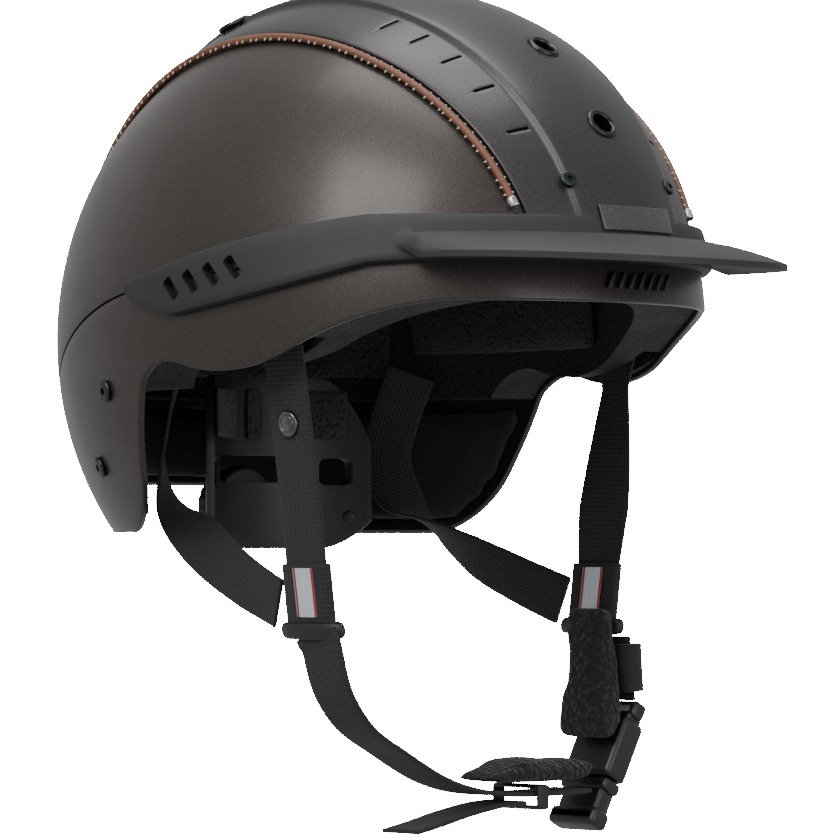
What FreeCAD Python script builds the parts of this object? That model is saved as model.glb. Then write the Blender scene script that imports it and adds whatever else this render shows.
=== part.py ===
import FreeCAD, Part
import math
import os
import Sketcher

# Equestrian riding helmet. The origin is the centre of the shell's ellipsoid,
# the front faces -Y, the wearer's left is +X and up is +Z. Millimetres.

doc = FreeCAD.newDocument("RidingHelmet")
sizes = doc.addObject("Spreadsheet::Sheet", "Sizes")

drivingSizes = [
    ("halfWidth", 112, "shell half width, along X"),
    ("halfLength", 145, "shell half length, along Y"),
    ("halfHeight", 135, "shell half height, along Z"),
    ("shellThick", 3, "moulded shell wall"),
    ("layerGap", 0.3, "clearance between stacked layers"),
    ("linerThick", 24.7, "foam liner wall"),
    ("padThick", 6, "comfort pad wall"),
    ("overshoot", 20, "how far a cutting outline runs past the shell"),
    ("seamGap", 0.6, "gap between the two shells"),
    ("seamFront", 28, "seam height at the brow"),
    ("seamSide", 15, "seam height above the ear"),
    ("seamBack", -26, "seam height at the nape"),
    ("browHeight", 8, "front edge of the shell"),
    ("browRun", 33, "length of the level front edge"),
    ("templeHeight", -11, "shell edge at the temple"),
    ("earHeight", -14, "shell edge in front of the ear notch"),
    ("hornFront", 26, "front of the horn behind the ear"),
    ("hornDepth", -78, "lower end of the horn"),
    ("hornBack", 86, "back of the horn"),
    ("napeHeight", -58, "shell edge at the nape"),
    ("linerLip", 2.5, "foam edge above the shell edge"),
    ("neckLip", 2, "neck lining edge above the shell edge"),
    ("bandProud", 4, "side band above the shell"),
    ("bandTop", 39.5, "upper edge of the side band at the brow"),
    ("bandLow", 22.5, "lower edge of the side band at the brow"),
    ("peakReach", 47, "peak in front of the shell"),
    ("peakBack", 51, "centre of the peak's oval behind the shell's front"),
    ("peakInset", 26, "peak's oval inside the shell's half width"),
    ("peakTop", 31, "upper face of the peak at the shell"),
    ("peakUnder", 21.5, "under face of the peak at the shell"),
    ("panelProud", 1.5, "crest panel above the shell"),
    ("panelHalf", 57, "crest panel half width"),
    ("ridgeProud", 3.9, "crest ridge above the shell"),
    ("ridgeHalf", 35, "crest ridge half width"),
    ("crestLow", 31, "front end of the crest panel"),
    ("pipingProud", 3, "piping above the shell"),
    ("pipingWidth", 3.2, "piping width"),
    ("pipingGap", 0.6, "gap between the crest panel and the piping"),
    ("slitPitch", 15.5, "spacing of the crest slits"),
    ("slitInset", 7, "crest slits outside the ridge"),
    ("webWidth", 22, "webbing width"),
    ("webThick", 1.8, "webbing thickness"),
    ("eyeletRadius", 7, "eyelet outside radius"),
    ("eyeletBore", 4.3, "eyelet hole radius"),
    ("screwRadius", 3.3, "screw head radius"),
    ("pinRadius", 2.5, "strap anchor pin radius"),
    ("pinLength", 18, "strap anchor pin length"),
    ("pinInset", 11, "outer end of the anchor pin inside the half width"),
    ("runFit", 0.05, "running clearance round a pin"),
    ("anchorY", -45.5, "front straps and their anchor pins"),
    ("anchorZ", -2, "height of the anchor pins"),
    ("pocketInset", 14.5, "strap pocket inside the half width"),
    ("pocketDepth", 10.9, "strap pocket across its strap"),
    ("pocketPlay", 7.5, "room at each edge of the strap in its pocket"),
    ("pocketTop", 9, "upper end of the strap pocket"),
    ("strapInset", 20.5, "front strap inside the half width"),
    ("rearInset", 19.414, "rear strap inside the wall at the horn's lower end"),
    ("ringHeight", -115, "middle of the divider rings"),
    ("ringBar", 1.6, "divider ring wall"),
    ("ringEnd", 3.75, "divider ring end wall"),
    ("ringPlay", 2.5, "room at each edge of the strap in its ring"),
    ("tapeWidth", 11, "reflective tape width"),
    ("tapeThick", 0.4, "reflective tape thickness"),
    ("rivetRadius", 5.2, "snap rivet radius"),
    ("chinY", -54, "chin strap and buckle"),
    ("keeperWall", 1.5, "strap keeper wall"),
    ("keeperPlay", 0.8, "room at each edge of the strap in its keeper"),
    ("padSpread", 3, "fleece pad beyond each edge of the strap"),
    ("cradleHalfWidth", 60, "nape cradle half width"),
    ("cradleHalfDepth", 76, "nape cradle reach behind the centre"),
    ("cradleThick", 3, "nape cradle wall"),
    ("cradlePad", 4, "nape cradle pad"),
    ("dialRadius", 13, "dial knob radius"),
    ("dialHeight", -66, "height of the dial"),
    ("dialThick", 9, "dial knob thickness"),
    ("housingThick", 8, "dial housing thickness"),
    ("socketLength", 34, "buckle socket length"),
    ("socketWidth", 25, "buckle socket width"),
    ("socketDepth", 12, "buckle socket thickness"),
    ("throatDepth", 5.2, "slot in the socket"),
    ("throatWall", 3.5, "socket wall at each edge of its slot"),
    ("bladeFit", 0.4, "clearance round the tongue's blade"),
    ("buttonSide", 10, "buckle button side"),
    ("buttonFit", 0.3, "clearance round the button"),
]
for row, (alias, number, note) in enumerate(drivingSizes, start=1):
    sizes.set("A%d" % row, note)
    sizes.set("B%d" % row, str(number))
    sizes.setAlias("B%d" % row, alias)
doc.recompute()

turnToSide = FreeCAD.Rotation(0.5, 0.5, 0.5, 0.5)
turnToFront = FreeCAD.Rotation(FreeCAD.Vector(1, 0, 0), 90)
upright = FreeCAD.Vector(0, 0, 1)
nodes = []
reach = "Sizes.halfLength + Sizes.overshoot"
above = "Sizes.halfHeight + Sizes.overshoot"
across = "Sizes.halfWidth + Sizes.overshoot"


def value(expression):
    return float(sizes.evalExpression(str(expression)))


def behindFront(distance):
    # a place along Y, measured back from the shell's front
    return "%g - Sizes.halfLength" % distance


def ellipsoid(name, grow):
    solid = doc.addObject("Part::Ellipsoid", name)
    solid.Angle1 = -90
    solid.Angle2 = 90
    solid.Angle3 = 360
    solid.setExpression("Radius1", "Sizes.halfHeight + (%s)" % grow)
    solid.setExpression("Radius2", "Sizes.halfWidth + (%s)" % grow)
    solid.setExpression("Radius3", "Sizes.halfLength + (%s)" % grow)
    return solid


def cut(name, base, *tools):
    tool = tools[0]
    if len(tools) > 1:
        tool = doc.addObject("Part::MultiFuse", name + "Tools")
        tool.Shapes = list(tools)
    result = doc.addObject("Part::Cut", name)
    result.Base = base
    result.Tool = tool
    return result


def common(name, *solids):
    result = doc.addObject("Part::MultiCommon", name)
    result.Shapes = list(solids)
    return result


def fuse(name, *solids):
    result = doc.addObject("Part::MultiFuse", name)
    result.Shapes = list(solids)
    result.Refine = True
    return result


def layer(name, inner, outer):
    return cut(name, ellipsoid(name + "Outer", outer), ellipsoid(name + "Inner", inner))


def box(name, low, high):
    solid = doc.addObject("Part::Box", name)
    for axis, prop, a, b in zip("xyz", ("Length", "Width", "Height"), low, high):
        solid.setExpression(prop, "(%s) - (%s)" % (b, a))
        solid.setExpression("Placement.Base." + axis, str(a))
    return solid


def sideBox(name, side, low, high):
    # a box whose X is measured inward from the shell's half width
    if side > 0:
        return box(name, ("Sizes.halfWidth - (%s)" % high[0], low[1], low[2]),
                   ("Sizes.halfWidth - (%s)" % low[0], high[1], high[2]))
    return box(name, ("(%s) - Sizes.halfWidth" % low[0], low[1], low[2]),
               ("(%s) - Sizes.halfWidth" % high[0], high[1], high[2]))


def outline(name, points, closed=True):
    # straight runs and arcs between corners: a corner is (across, up) or
    # (across, up, bulge), with the bulge of the run that leaves it to the left
    sketch = doc.addObject("Sketcher::SketchObject", name)
    corners = [FreeCAD.Vector(value(point[0]), value(point[1]), 0) for point in points]
    bulges = [point[2] if len(point) > 2 else 0 for point in points]
    count = len(points) if closed else len(points) - 1
    starts = [2 if bulge > 0 else 1 for bulge in bulges]
    for i in range(count):
        start, end = corners[i], corners[(i + 1) % len(points)]
        if bulges[i]:
            left = FreeCAD.Vector(start.y - end.y, end.x - start.x, 0).normalize()
            sketch.addGeometry(Part.Arc(start, (start + end) / 2 + left * bulges[i], end))
        else:
            sketch.addGeometry(Part.LineSegment(start, end))
    for i in range(count if closed else count - 1):
        following = (i + 1) % count
        sketch.addConstraint(Sketcher.Constraint("Coincident", i, 3 - starts[i], following, starts[following]))
    for i, point in enumerate(points):
        edge = min(i, count - 1)
        vertex = starts[edge] if i < count else 3 - starts[edge]
        for kind, place in zip(("DistanceX", "DistanceY"), point):
            index = sketch.addConstraint(Sketcher.Constraint(kind, -1, 1, edge, vertex, value(place)))
            sketch.setExpression("Constraints[%d]" % index, str(place))
    for i in range(count):
        if bulges[i]:
            (u1, v1), (u2, v2) = points[i][:2], points[(i + 1) % len(points)][:2]
            chord = "(((%s) - (%s))^2 + ((%s) - (%s))^2)" % (u2, u1, v2, v1)
            radius = "%s / %g + %g" % (chord, 8 * abs(bulges[i]), abs(bulges[i]) / 2)
            index = sketch.addConstraint(Sketcher.Constraint("Radius", i, value(radius)))
            sketch.setExpression("Constraints[%d]" % index, radius)
    return sketch


def shifted(edge, right, up):
    return [("(%s) + (%s)" % (point[0], right), "(%s) + (%s)" % (point[1], up), *point[2:]) for point in edge]


def backward(edge):
    bulges = [-point[2] if len(point) > 2 else 0 for point in edge]
    return [(*point[:2], bulge) for point, bulge in zip(edge[::-1], bulges[-2::-1] + [0])]


def mirrored(edge):
    return [("-(%s)" % point[0], point[1], *[-bulge for bulge in point[2:]]) for point in edge]


def acrossAt(edge, along):
    # how far out an edge in plan lies at a place along Y
    for here, following in zip(edge, edge[1:]):
        start = FreeCAD.Vector(value(here[0]), value(here[1]), 0)
        end = FreeCAD.Vector(value(following[0]), value(following[1]), 0)
        if start.y <= along <= end.y:
            level = start.x + (end.x - start.x) * (along - start.y) / (end.y - start.y)
            share = 2 * (along - start.y) / (end.y - start.y) - 1
            return level - (here[2] if len(here) > 2 else 0) * (1 - share ** 2)
    raise ValueError("no edge at %g" % along)


def extrude(name, profile, forward, backward="0"):
    solid = doc.addObject("Part::Extrusion", name)
    solid.Base = profile
    solid.DirMode = "Normal"
    solid.Solid = True
    solid.setExpression("LengthFwd", str(forward))
    solid.setExpression("LengthRev", str(backward))
    return solid


def sideRegion(name, points):
    sketch = outline(name + "Outline", points)
    sketch.Placement = FreeCAD.Placement(FreeCAD.Vector(), turnToSide)
    return extrude(name, sketch, across, across)


def planRegion(name, points):
    return extrude(name, outline(name + "Outline", points), above)


def thickened(name, path, thick):
    # an open path made into a strip on one side of it, which the sign of thick picks
    strip = doc.addObject("Part::Offset2D", name + "Strip")
    strip.Source = path
    strip.Mode = "Skin"
    strip.Fill = True
    strip.setExpression("Value", thick)
    return strip


def faceFront(sketch, fromSide):
    # stood upright across the helmet at the chin strap, drawn from its left side or its middle
    sketch.Placement = FreeCAD.Placement(FreeCAD.Vector(), turnToFront)
    sketch.setExpression("Placement.Base.y", "Sizes.chinY")
    if fromSide:
        sketch.setExpression("Placement.Base.x", "Sizes.halfWidth")
    return sketch


def frontBlock(name, points, width, fromSide=True):
    profile = faceFront(outline(name + "Outline", points), fromSide)
    return extrude(name, profile, "(%s) / 2" % width, "(%s) / 2" % width)


def frontWeb(name, path, thick, width):
    route = faceFront(outline(name + "Route", path, closed=False), False)
    return extrude(name, thickened(name, route, thick), "(%s) / 2" % width, "(%s) / 2" % width)


def raised(x, y, z, rise):
    # a place on the shell moved out along its normal, and that normal
    wide, long, high = (value("Sizes.halfWidth"), value("Sizes.halfLength"), value("Sizes.halfHeight"))
    outward = FreeCAD.Vector(x / wide ** 2, y / long ** 2, z / high ** 2).normalize()
    return FreeCAD.Vector(x, y, z) + outward * rise, outward


def besideShell(y, z, rise, side):
    share = 1 - (y / value("Sizes.halfLength")) ** 2 - (z / value("Sizes.halfHeight")) ** 2
    return raised(side * value("Sizes.halfWidth") * math.sqrt(share), y, z, rise)


def overShell(x, y, rise):
    x = value(x)
    y = value(y)
    share = 1 - (x / value("Sizes.halfWidth")) ** 2 - (y / value("Sizes.halfLength")) ** 2
    return raised(x, y, value("Sizes.halfHeight") * math.sqrt(share), rise)


def cylinderAt(name, spot, radius, height):
    solid = doc.addObject("Part::Cylinder", name)
    solid.setExpression("Radius", radius)
    solid.setExpression("Height", height)
    place, outward = spot
    solid.Placement = FreeCAD.Placement(place, FreeCAD.Rotation(upright, outward))
    return solid


def node(solid, name):
    solid.Label = name
    nodes.append(solid)
    return solid


# the edges of the shell seen from the side: length along Y, height along Z
seam = [("-(%s)" % reach, "Sizes.seamFront", 2.5), (20, "Sizes.seamSide", 7), (112, "Sizes.seamBack"),
        (reach, "Sizes.seamBack")]
faceEdge = [("-(%s)" % reach, "Sizes.browHeight"),
            ("Sizes.browRun - Sizes.halfLength", "Sizes.browHeight", 2.8),
            (-58, "Sizes.templeHeight", -4.6), (-8, "Sizes.earHeight", 4), (15, -21)]
hornEdge = [("Sizes.hornFront", -56, -3.6), (48, "Sizes.hornDepth"), ("Sizes.hornBack", "Sizes.hornDepth"),
            (112, "Sizes.napeHeight"), (reach, "Sizes.napeHeight")]
skyCorners = [(reach, above), ("-(%s)" % reach, above)]

eyeletSpots = {
    "eyelet_front_low": (0, behindFront(24)), "eyelet_front_high": (0, behindFront(54)),
    "eyelet_crown": (0, -12), "eyelet_rear_right": (-34, 44), "eyelet_rear_left": (34, 44),
}
crestScrewSpots = {"crest_screw_right": (-26, behindFront(15.5)), "crest_screw_left": (26, behindFront(15.5))}
shellScrewSpots = [(40, -23), (58, -52)]


def buildShells():
    wall = layer("UpperWall", "-Sizes.shellThick", "0")
    aboveSeam = sideRegion("AboveSeam", seam + skyCorners)
    aboveSeam.setExpression("Placement.Base.z", "Sizes.seamGap / 2")
    holes = []
    for name, spot in eyeletSpots.items():
        holes.append(cylinderAt("Vent_" + name, overShell(*spot, -8), "Sizes.eyeletBore", "20"))
    node(cut("UpperShell", common("UpperBlank", wall, aboveSeam), *holes), "upper_shell")
    lowerWall = layer("LowerWall", "-Sizes.shellThick", "0")
    belowSeam = sideRegion("BelowSeam", seam + backward(faceEdge + hornEdge))
    belowSeam.setExpression("Placement.Base.z", "-Sizes.seamGap / 2")
    node(common("LowerShell", lowerWall, belowSeam), "lower_shell")


def buildLiner():
    foam = layer("FoamWall", "-Sizes.shellThick - Sizes.layerGap - Sizes.linerThick",
                 "-Sizes.shellThick - Sizes.layerGap")
    lowSide = "Sizes.seamBack + 4"
    rim = shifted(faceEdge, 0, "Sizes.linerLip") + [(17, lowSide), (reach, lowSide)]
    tools = []
    for side, name in ((-1, "Right"), (1, "Left")):
        edge = "Sizes.webWidth / 2 + Sizes.pocketPlay"
        low = ("Sizes.pocketInset", "Sizes.anchorY - (%s)" % edge, -30)
        high = ("Sizes.pocketInset + Sizes.pocketDepth", "Sizes.anchorY + (%s)" % edge, "Sizes.pocketTop")
        tools.append(sideBox("StrapPocket" + name, side, low, high))
        tools.append(pinBlank("PinHole" + name, side))
    blank = common("LinerBlank", foam, sideRegion("LinerRegion", rim + skyCorners))
    node(cut("EpsLiner", blank, *tools), "eps_liner")
    soft = layer("NeckWall", "-Sizes.shellThick - Sizes.layerGap - Sizes.padThick",
                 "-Sizes.shellThick - Sizes.layerGap")
    neckTop = "%s - Sizes.seamGap" % lowSide
    lower = shifted(hornEdge, 0, "Sizes.neckLip")
    band = sideRegion("NeckRegion", [(18, neckTop)] + lower + [(reach, neckTop)])
    node(common("NeckLiner", soft, band), "neck_liner")


def pinBlank(name, side):
    pin = doc.addObject("Part::Cylinder", name)
    pin.setExpression("Radius", "Sizes.pinRadius")
    pin.setExpression("Height", "Sizes.pinLength")
    outer = "Sizes.halfWidth - Sizes.pinInset"
    pin.setExpression("Placement.Base.x", "%s - Sizes.pinLength" % outer if side > 0 else "-(%s)" % outer)
    pin.setExpression("Placement.Base.y", "Sizes.anchorY")
    pin.setExpression("Placement.Base.z", "Sizes.anchorZ")
    pin.Placement.Rotation = FreeCAD.Rotation(FreeCAD.Vector(0, 1, 0), 90)
    return pin


# the crest panel and its ridge seen from above: half width along X, length along Y
panelEdge = [(36, behindFront(-5), -2.7), ("Sizes.panelHalf", -60, -3), ("Sizes.panelHalf - 2", 60),
             (36, reach)]
ridgeEdge = [(22, behindFront(-5), -1.5), ("Sizes.ridgeHalf", -56, -1.2), ("Sizes.ridgeHalf", 40), (24, reach)]


def bothSides(edge):
    return edge + backward(mirrored(edge))


def crestRegion(name, front, rear):
    return sideRegion(name, [("-(%s)" % reach, front), (-60, front), (60, rear), (reach, rear)] + skyCorners)


def buildCrest():
    region = crestRegion("CrestSide", "Sizes.crestLow", "Sizes.seamSide - 1")
    panel = common("Panel", layer("PanelWall", "Sizes.layerGap", "Sizes.layerGap + Sizes.panelProud"),
                   planRegion("PanelPlan", bothSides(panelEdge)), region)
    ridge = common("Ridge", layer("RidgeWall", "Sizes.layerGap", "Sizes.layerGap + Sizes.ridgeProud"),
                   planRegion("RidgePlan", bothSides(ridgeEdge)), region)
    tools = []
    for name, spot in eyeletSpots.items():
        hole = "Sizes.eyeletRadius + Sizes.layerGap"
        tools.append(cylinderAt("Seat_" + name, overShell(*spot, -2), hole, "20"))
    for name, spot in crestScrewSpots.items():
        hole = "Sizes.screwRadius + Sizes.layerGap"
        tools.append(cylinderAt("Seat_" + name, overShell(*spot, -2), hole, "20"))
    for i in range(5):
        along = value(behindFront(93)) - value("Sizes.slitPitch") * i
        out = acrossAt(ridgeEdge, along) + value("Sizes.slitInset")
        for side in (-1, 1):
            place, outward = overShell(out * side, along, -2)
            slit = doc.addObject("Part::Box", "Slit%d%s" % (i, "L" if side > 0 else "R"))
            slit.setExpression("Length", "Sizes.pipingProud * 3")
            slit.setExpression("Width", "Sizes.pipingProud / 2")
            slit.setExpression("Height", "Sizes.ridgeProud * 3")
            turn = FreeCAD.Rotation(upright, outward)
            shift = turn.multVec(FreeCAD.Vector(-slit.Length.Value / 2, 0, 0))
            slit.Placement = FreeCAD.Placement(place + shift, turn)
            tools.append(slit)
    node(cut("CrestPanel", fuse("CrestBlank", panel, ridge), *tools), "crest_panel")


def buildPiping():
    front = value(behindFront(26))
    beside = acrossAt(panelEdge, front)
    inside = shifted(panelEdge, "Sizes.pipingGap", 0)
    outside = shifted(panelEdge, "Sizes.pipingGap + Sizes.pipingWidth", 0)
    for side, name in ((-1, "right"), (1, "left")):
        strip = inside + backward(outside)
        if side < 0:
            strip = mirrored(strip)
        wall = layer("PipingWall_" + name, "Sizes.layerGap", "Sizes.layerGap + Sizes.pipingProud")
        room = box("PipingEnds_" + name, ("-(%s)" % across, front, "Sizes.seamSide"), (across, 118, above))
        node(common("Piping_" + name, wall, planRegion("PipingPlan_" + name, strip), room), "piping_" + name)
        cover = layer("ClipWall_" + name, "Sizes.layerGap", "Sizes.layerGap * 3 + Sizes.pipingProud")
        corners = [(side * (beside - 1.9), front - 8), (side * (beside + 2.6), front - 8),
                   (side * (beside + 4), front - 0.5), (side * (beside + 0.3), front - 0.5)]
        clip = common("Clip_" + name, cover, planRegion("ClipPlan_" + name, corners),
                      crestRegion("ClipSide_" + name, "Sizes.bandTop + 1.5", "Sizes.bandTop + 1.5"))
        node(clip, "piping_clip_" + name)


def buildFittings():
    for name, spot in eyeletSpots.items():
        body = cylinderAt("Body_" + name, overShell(*spot, 0.4), "Sizes.eyeletRadius", "Sizes.ridgeProud + 1")
        bore = cylinderAt("Bore_" + name, overShell(*spot, -2), "Sizes.eyeletBore", "20")
        node(cut("Ring_" + name, body, bore), name)
    for name, spot in crestScrewSpots.items():
        spot = overShell(*spot, 0.4)
        node(cylinderAt("Head_" + name, spot, "Sizes.screwRadius", "Sizes.ridgeProud + 0.6"), name)
    for i, (y, z) in enumerate(shellScrewSpots):
        for side, name in ((-1, "right"), (1, "left")):
            spot = besideShell(y, z, 0.4, side)
            label = "shell_screw_%s_%d" % (name, i + 1)
            node(cylinderAt("Head_" + label, spot, "Sizes.screwRadius + 0.9", "1.4"), label)
    plate = layer("BadgeWall", "Sizes.ridgeProud + Sizes.layerGap * 2", "Sizes.ridgeProud + 1.6")
    area = box("BadgeArea", (-18, "-(%s)" % reach, "Sizes.crestLow + 2"), (18, -60, "Sizes.crestLow + 12"))
    node(common("BadgePlate", plate, area), "badge_plate")


# the side band and the peak seen from the side
bandEdge = [("-(%s)" % reach, "Sizes.bandTop"), (-85, "Sizes.bandTop", 1.7), (15, 19), (20, 15.5), (17, 11.5),
            (-7, 4, 1.6), (-88, "Sizes.bandLow - 1.5"), (-109, "Sizes.bandLow"),
            ("-(%s)" % reach, "Sizes.bandLow")]
visorTip = "-(Sizes.halfLength + Sizes.peakReach)"
visorEdge = [(-90, "Sizes.peakTop"), (behindFront(-5), "Sizes.peakTop", -1.8),
             (visorTip, "Sizes.peakUnder + 0.5"), (visorTip, "Sizes.peakUnder - 2"),
             (-140, "Sizes.peakUnder"), (-90, "Sizes.peakUnder")]


def buildPeak():
    wall = layer("BandWall", "Sizes.layerGap", "Sizes.layerGap + Sizes.bandProud")
    band = common("Band", wall, sideRegion("BandRegion", bandEdge))
    # a very tall oval body, so its sides are upright where the peak is
    column = ellipsoid("VisorColumn", "0")
    column.setExpression("Radius1", "Sizes.halfHeight * 20")
    column.setExpression("Radius2", "Sizes.halfWidth - Sizes.peakInset")
    column.setExpression("Radius3", "Sizes.peakReach + Sizes.peakBack")
    column.setExpression("Placement.Base.y", "Sizes.peakBack - Sizes.halfLength")
    slab = common("VisorSlab", column, sideRegion("VisorRegion", visorEdge))
    visor = cut("Visor", slab, ellipsoid("VisorSeat", "Sizes.layerGap"))
    room = common("CrestRoom", ellipsoid("CrestRoomWall", "Sizes.ridgeProud + Sizes.layerGap * 2 + 1.6"),
                  box("CrestRoomBox", (-46, "-(%s)" % reach, "Sizes.crestLow - 0.5"), (46, -60, above)))
    tools = [room]
    for i in range(4):
        slot = doc.addObject("Part::Box", "BandSlot%d" % i)
        slot.setExpression("Length", "2 * (%s)" % across)
        slot.Width = 4.2
        slot.Height = 9.5
        turn = FreeCAD.Rotation(FreeCAD.Vector(1, 0, 0), -40)
        half = FreeCAD.Vector(-slot.Length.Value / 2, -slot.Width.Value / 2, -slot.Height.Value / 2)
        middle = FreeCAD.Vector(0, -8.5 - 9.8 * i, 14.2 + 2.3 * i)
        slot.Placement = FreeCAD.Placement(middle + turn.multVec(half), turn)
        slot.setExpression("Placement.Base.x", "-(%s)" % across)
        tools.append(slot)
    node(cut("Peak", fuse("PeakBlank", band, visor), *tools), "peak")
    low = "Sizes.browHeight + 2.5"
    high = "Sizes.peakUnder - 2"
    grille = common("GrilleBlank", layer("GrilleWall", "Sizes.layerGap", "Sizes.layerGap + 1.6"),
                    box("GrilleArea", (-22, "-(%s)" % reach, low), (22, -60, high)))
    gaps = []
    for i in range(6):
        x = -17.5 + 6.2 * i
        gaps.append(box("GrilleGap%d" % i, (x, "-(%s)" % reach, low + " + 1.7"), (x + 4, -60, high + " - 1.7")))
    node(cut("VentGrille", grille, *gaps), "vent_grille")


def padLayer(name, *regions):
    outer = "-Sizes.shellThick - Sizes.layerGap * 2 - Sizes.linerThick"
    inner = outer + " - Sizes.padThick"
    node(common(name + "Solid", layer(name + "Wall", inner, outer), *regions), name)


def buildPads():
    far = "-(%s)" % across
    padLayer("brow_pad", box("BrowArea", (far, "-(%s)" % reach, 12), (across, -52, 38)))
    padLayer("side_pad_right", box("SideAreaRight", (far, -50, -7), (-10, 58, 24)))
    padLayer("side_pad_left", box("SideAreaLeft", (10, -50, -7), (across, 58, 24)))
    padLayer("rear_pad", box("RearArea", (far, 60, -16), (across, reach, 22)))
    crown = doc.addObject("Part::Cylinder", "CrownArea")
    crown.Radius = 46
    crown.setExpression("Height", above)
    padLayer("crown_pad", crown)


def cradleTube(name, outward, inward, low, high, back):
    # part of an upright oval tube, kept behind a plane
    solids = []
    for part, grow in (("Out", outward), ("In", inward)):
        oval = doc.addObject("Part::Ellipse", name + part + "Oval")
        oval.setExpression("MajorRadius", "Sizes.cradleHalfDepth + (%s)" % grow)
        oval.setExpression("MinorRadius", "Sizes.cradleHalfWidth + (%s)" % grow)
        oval.Placement.Rotation = FreeCAD.Rotation(upright, 90)
        oval.Placement.Base.z = low
        solids.append(extrude(name + part, oval, high - low))
    tube = cut(name + "Tube", *solids)
    return common(name, tube, box(name + "Keep", ("-(%s)" % across, back, low), (across, reach, high)))


def buildCradle():
    shell = cradleTube("CradleWall", "0", "-Sizes.cradleThick", -84, -14, 50)
    window = box("CradleWindow", (-24, 50, -57), (24, reach, -46))
    runs = "Sizes.pinRadius + Sizes.runFit"
    spindle = dialPin("SpindleHole", runs, 30, 40)
    node(cut("NapeCradle", shell, window, spindle), "nape_cradle")
    outer = "-Sizes.cradleThick - Sizes.layerGap"
    node(cradleTube("CradlePadWall", outer, outer + " - Sizes.cradlePad", -44, -16, 53), "cradle_pad")
    housingBack = "Sizes.layerGap + Sizes.housingThick"
    housing = dialPin("HousingBody", "Sizes.dialRadius + 3", housingBack, "Sizes.housingThick")
    bore = dialPin("HousingBore", runs, 30, 60)
    node(cut("DialHousing", housing, bore), "dial_housing")
    knobBack = housingBack + " + Sizes.layerGap + Sizes.dialThick"
    knob = dialPin("KnobBody", "Sizes.dialRadius", knobBack, "Sizes.dialThick")
    shaft = dialPin("KnobShaft", "Sizes.pinRadius", knobBack, "Sizes.dialThick * 2")
    node(fuse("DialKnob", knob, shaft), "dial_knob")


def dialPin(name, radius, behind, length):
    # a cylinder on the dial's axis, running forward from behind the cradle
    pin = doc.addObject("Part::Cylinder", name)
    pin.setExpression("Radius", radius)
    pin.setExpression("Height", str(length))
    pin.Placement.Rotation = turnToFront
    pin.setExpression("Placement.Base.y", "Sizes.cradleHalfDepth + %s" % behind)
    pin.setExpression("Placement.Base.z", "Sizes.dialHeight")
    return pin


strapLean = 8.6
rearSwing = 11


def sidePlane(side, inset, lean, swing=0):
    # a plane beside the head, leaning in toward the jaw
    lay = FreeCAD.Rotation(FreeCAD.Vector(0, 1, 0), side * lean)
    yaw = FreeCAD.Rotation(upright, side * swing)
    beside = side * (value("Sizes.halfWidth") - value(inset))
    return FreeCAD.Placement(FreeCAD.Vector(beside, 0, 0), yaw * lay * turnToSide)


def sidePlate(name, side, inset, points, thick, lift="0"):
    sketch = outline(name + "Outline", points)
    sketch.Placement = sidePlane(side, inset, strapLean)
    outward = "(%s) + (%s)" % (thick, lift)
    if side > 0:
        return extrude(name, sketch, outward, "-(%s)" % lift)
    return extrude(name, sketch, "-(%s)" % lift, outward)


def sideButton(name, side, z, radius, lift, height):
    button = doc.addObject("Part::Cylinder", name)
    button.setExpression("Radius", radius)
    button.setExpression("Height", height)
    plane = sidePlane(side, "Sizes.strapInset", strapLean)
    out = plane.Rotation.multVec(FreeCAD.Vector(0, 0, side))
    place = plane.multVec(FreeCAD.Vector(value("Sizes.anchorY"), z, 0)) + out * lift
    button.Placement = FreeCAD.Placement(place, FreeCAD.Rotation(upright, out))
    return button


def strapBlock(halfLength, low, high):
    # a rectangle about the front strap's middle
    front = "Sizes.anchorY - (%s)" % halfLength
    back = "Sizes.anchorY + (%s)" % halfLength
    return [(front, high), (back, high), (back, low), (front, low)]


# the lower edge of the rear strap from the liner down to the divider ring
rearInside = "Sizes.halfWidth * (1 - sqrt(1 - (Sizes.hornDepth / Sizes.halfHeight)^2)) + Sizes.rearInset"
rearRoute = [(35, -17), (47, -50, 3), (36, -66, 1.5), (-26, -94)]


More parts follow.
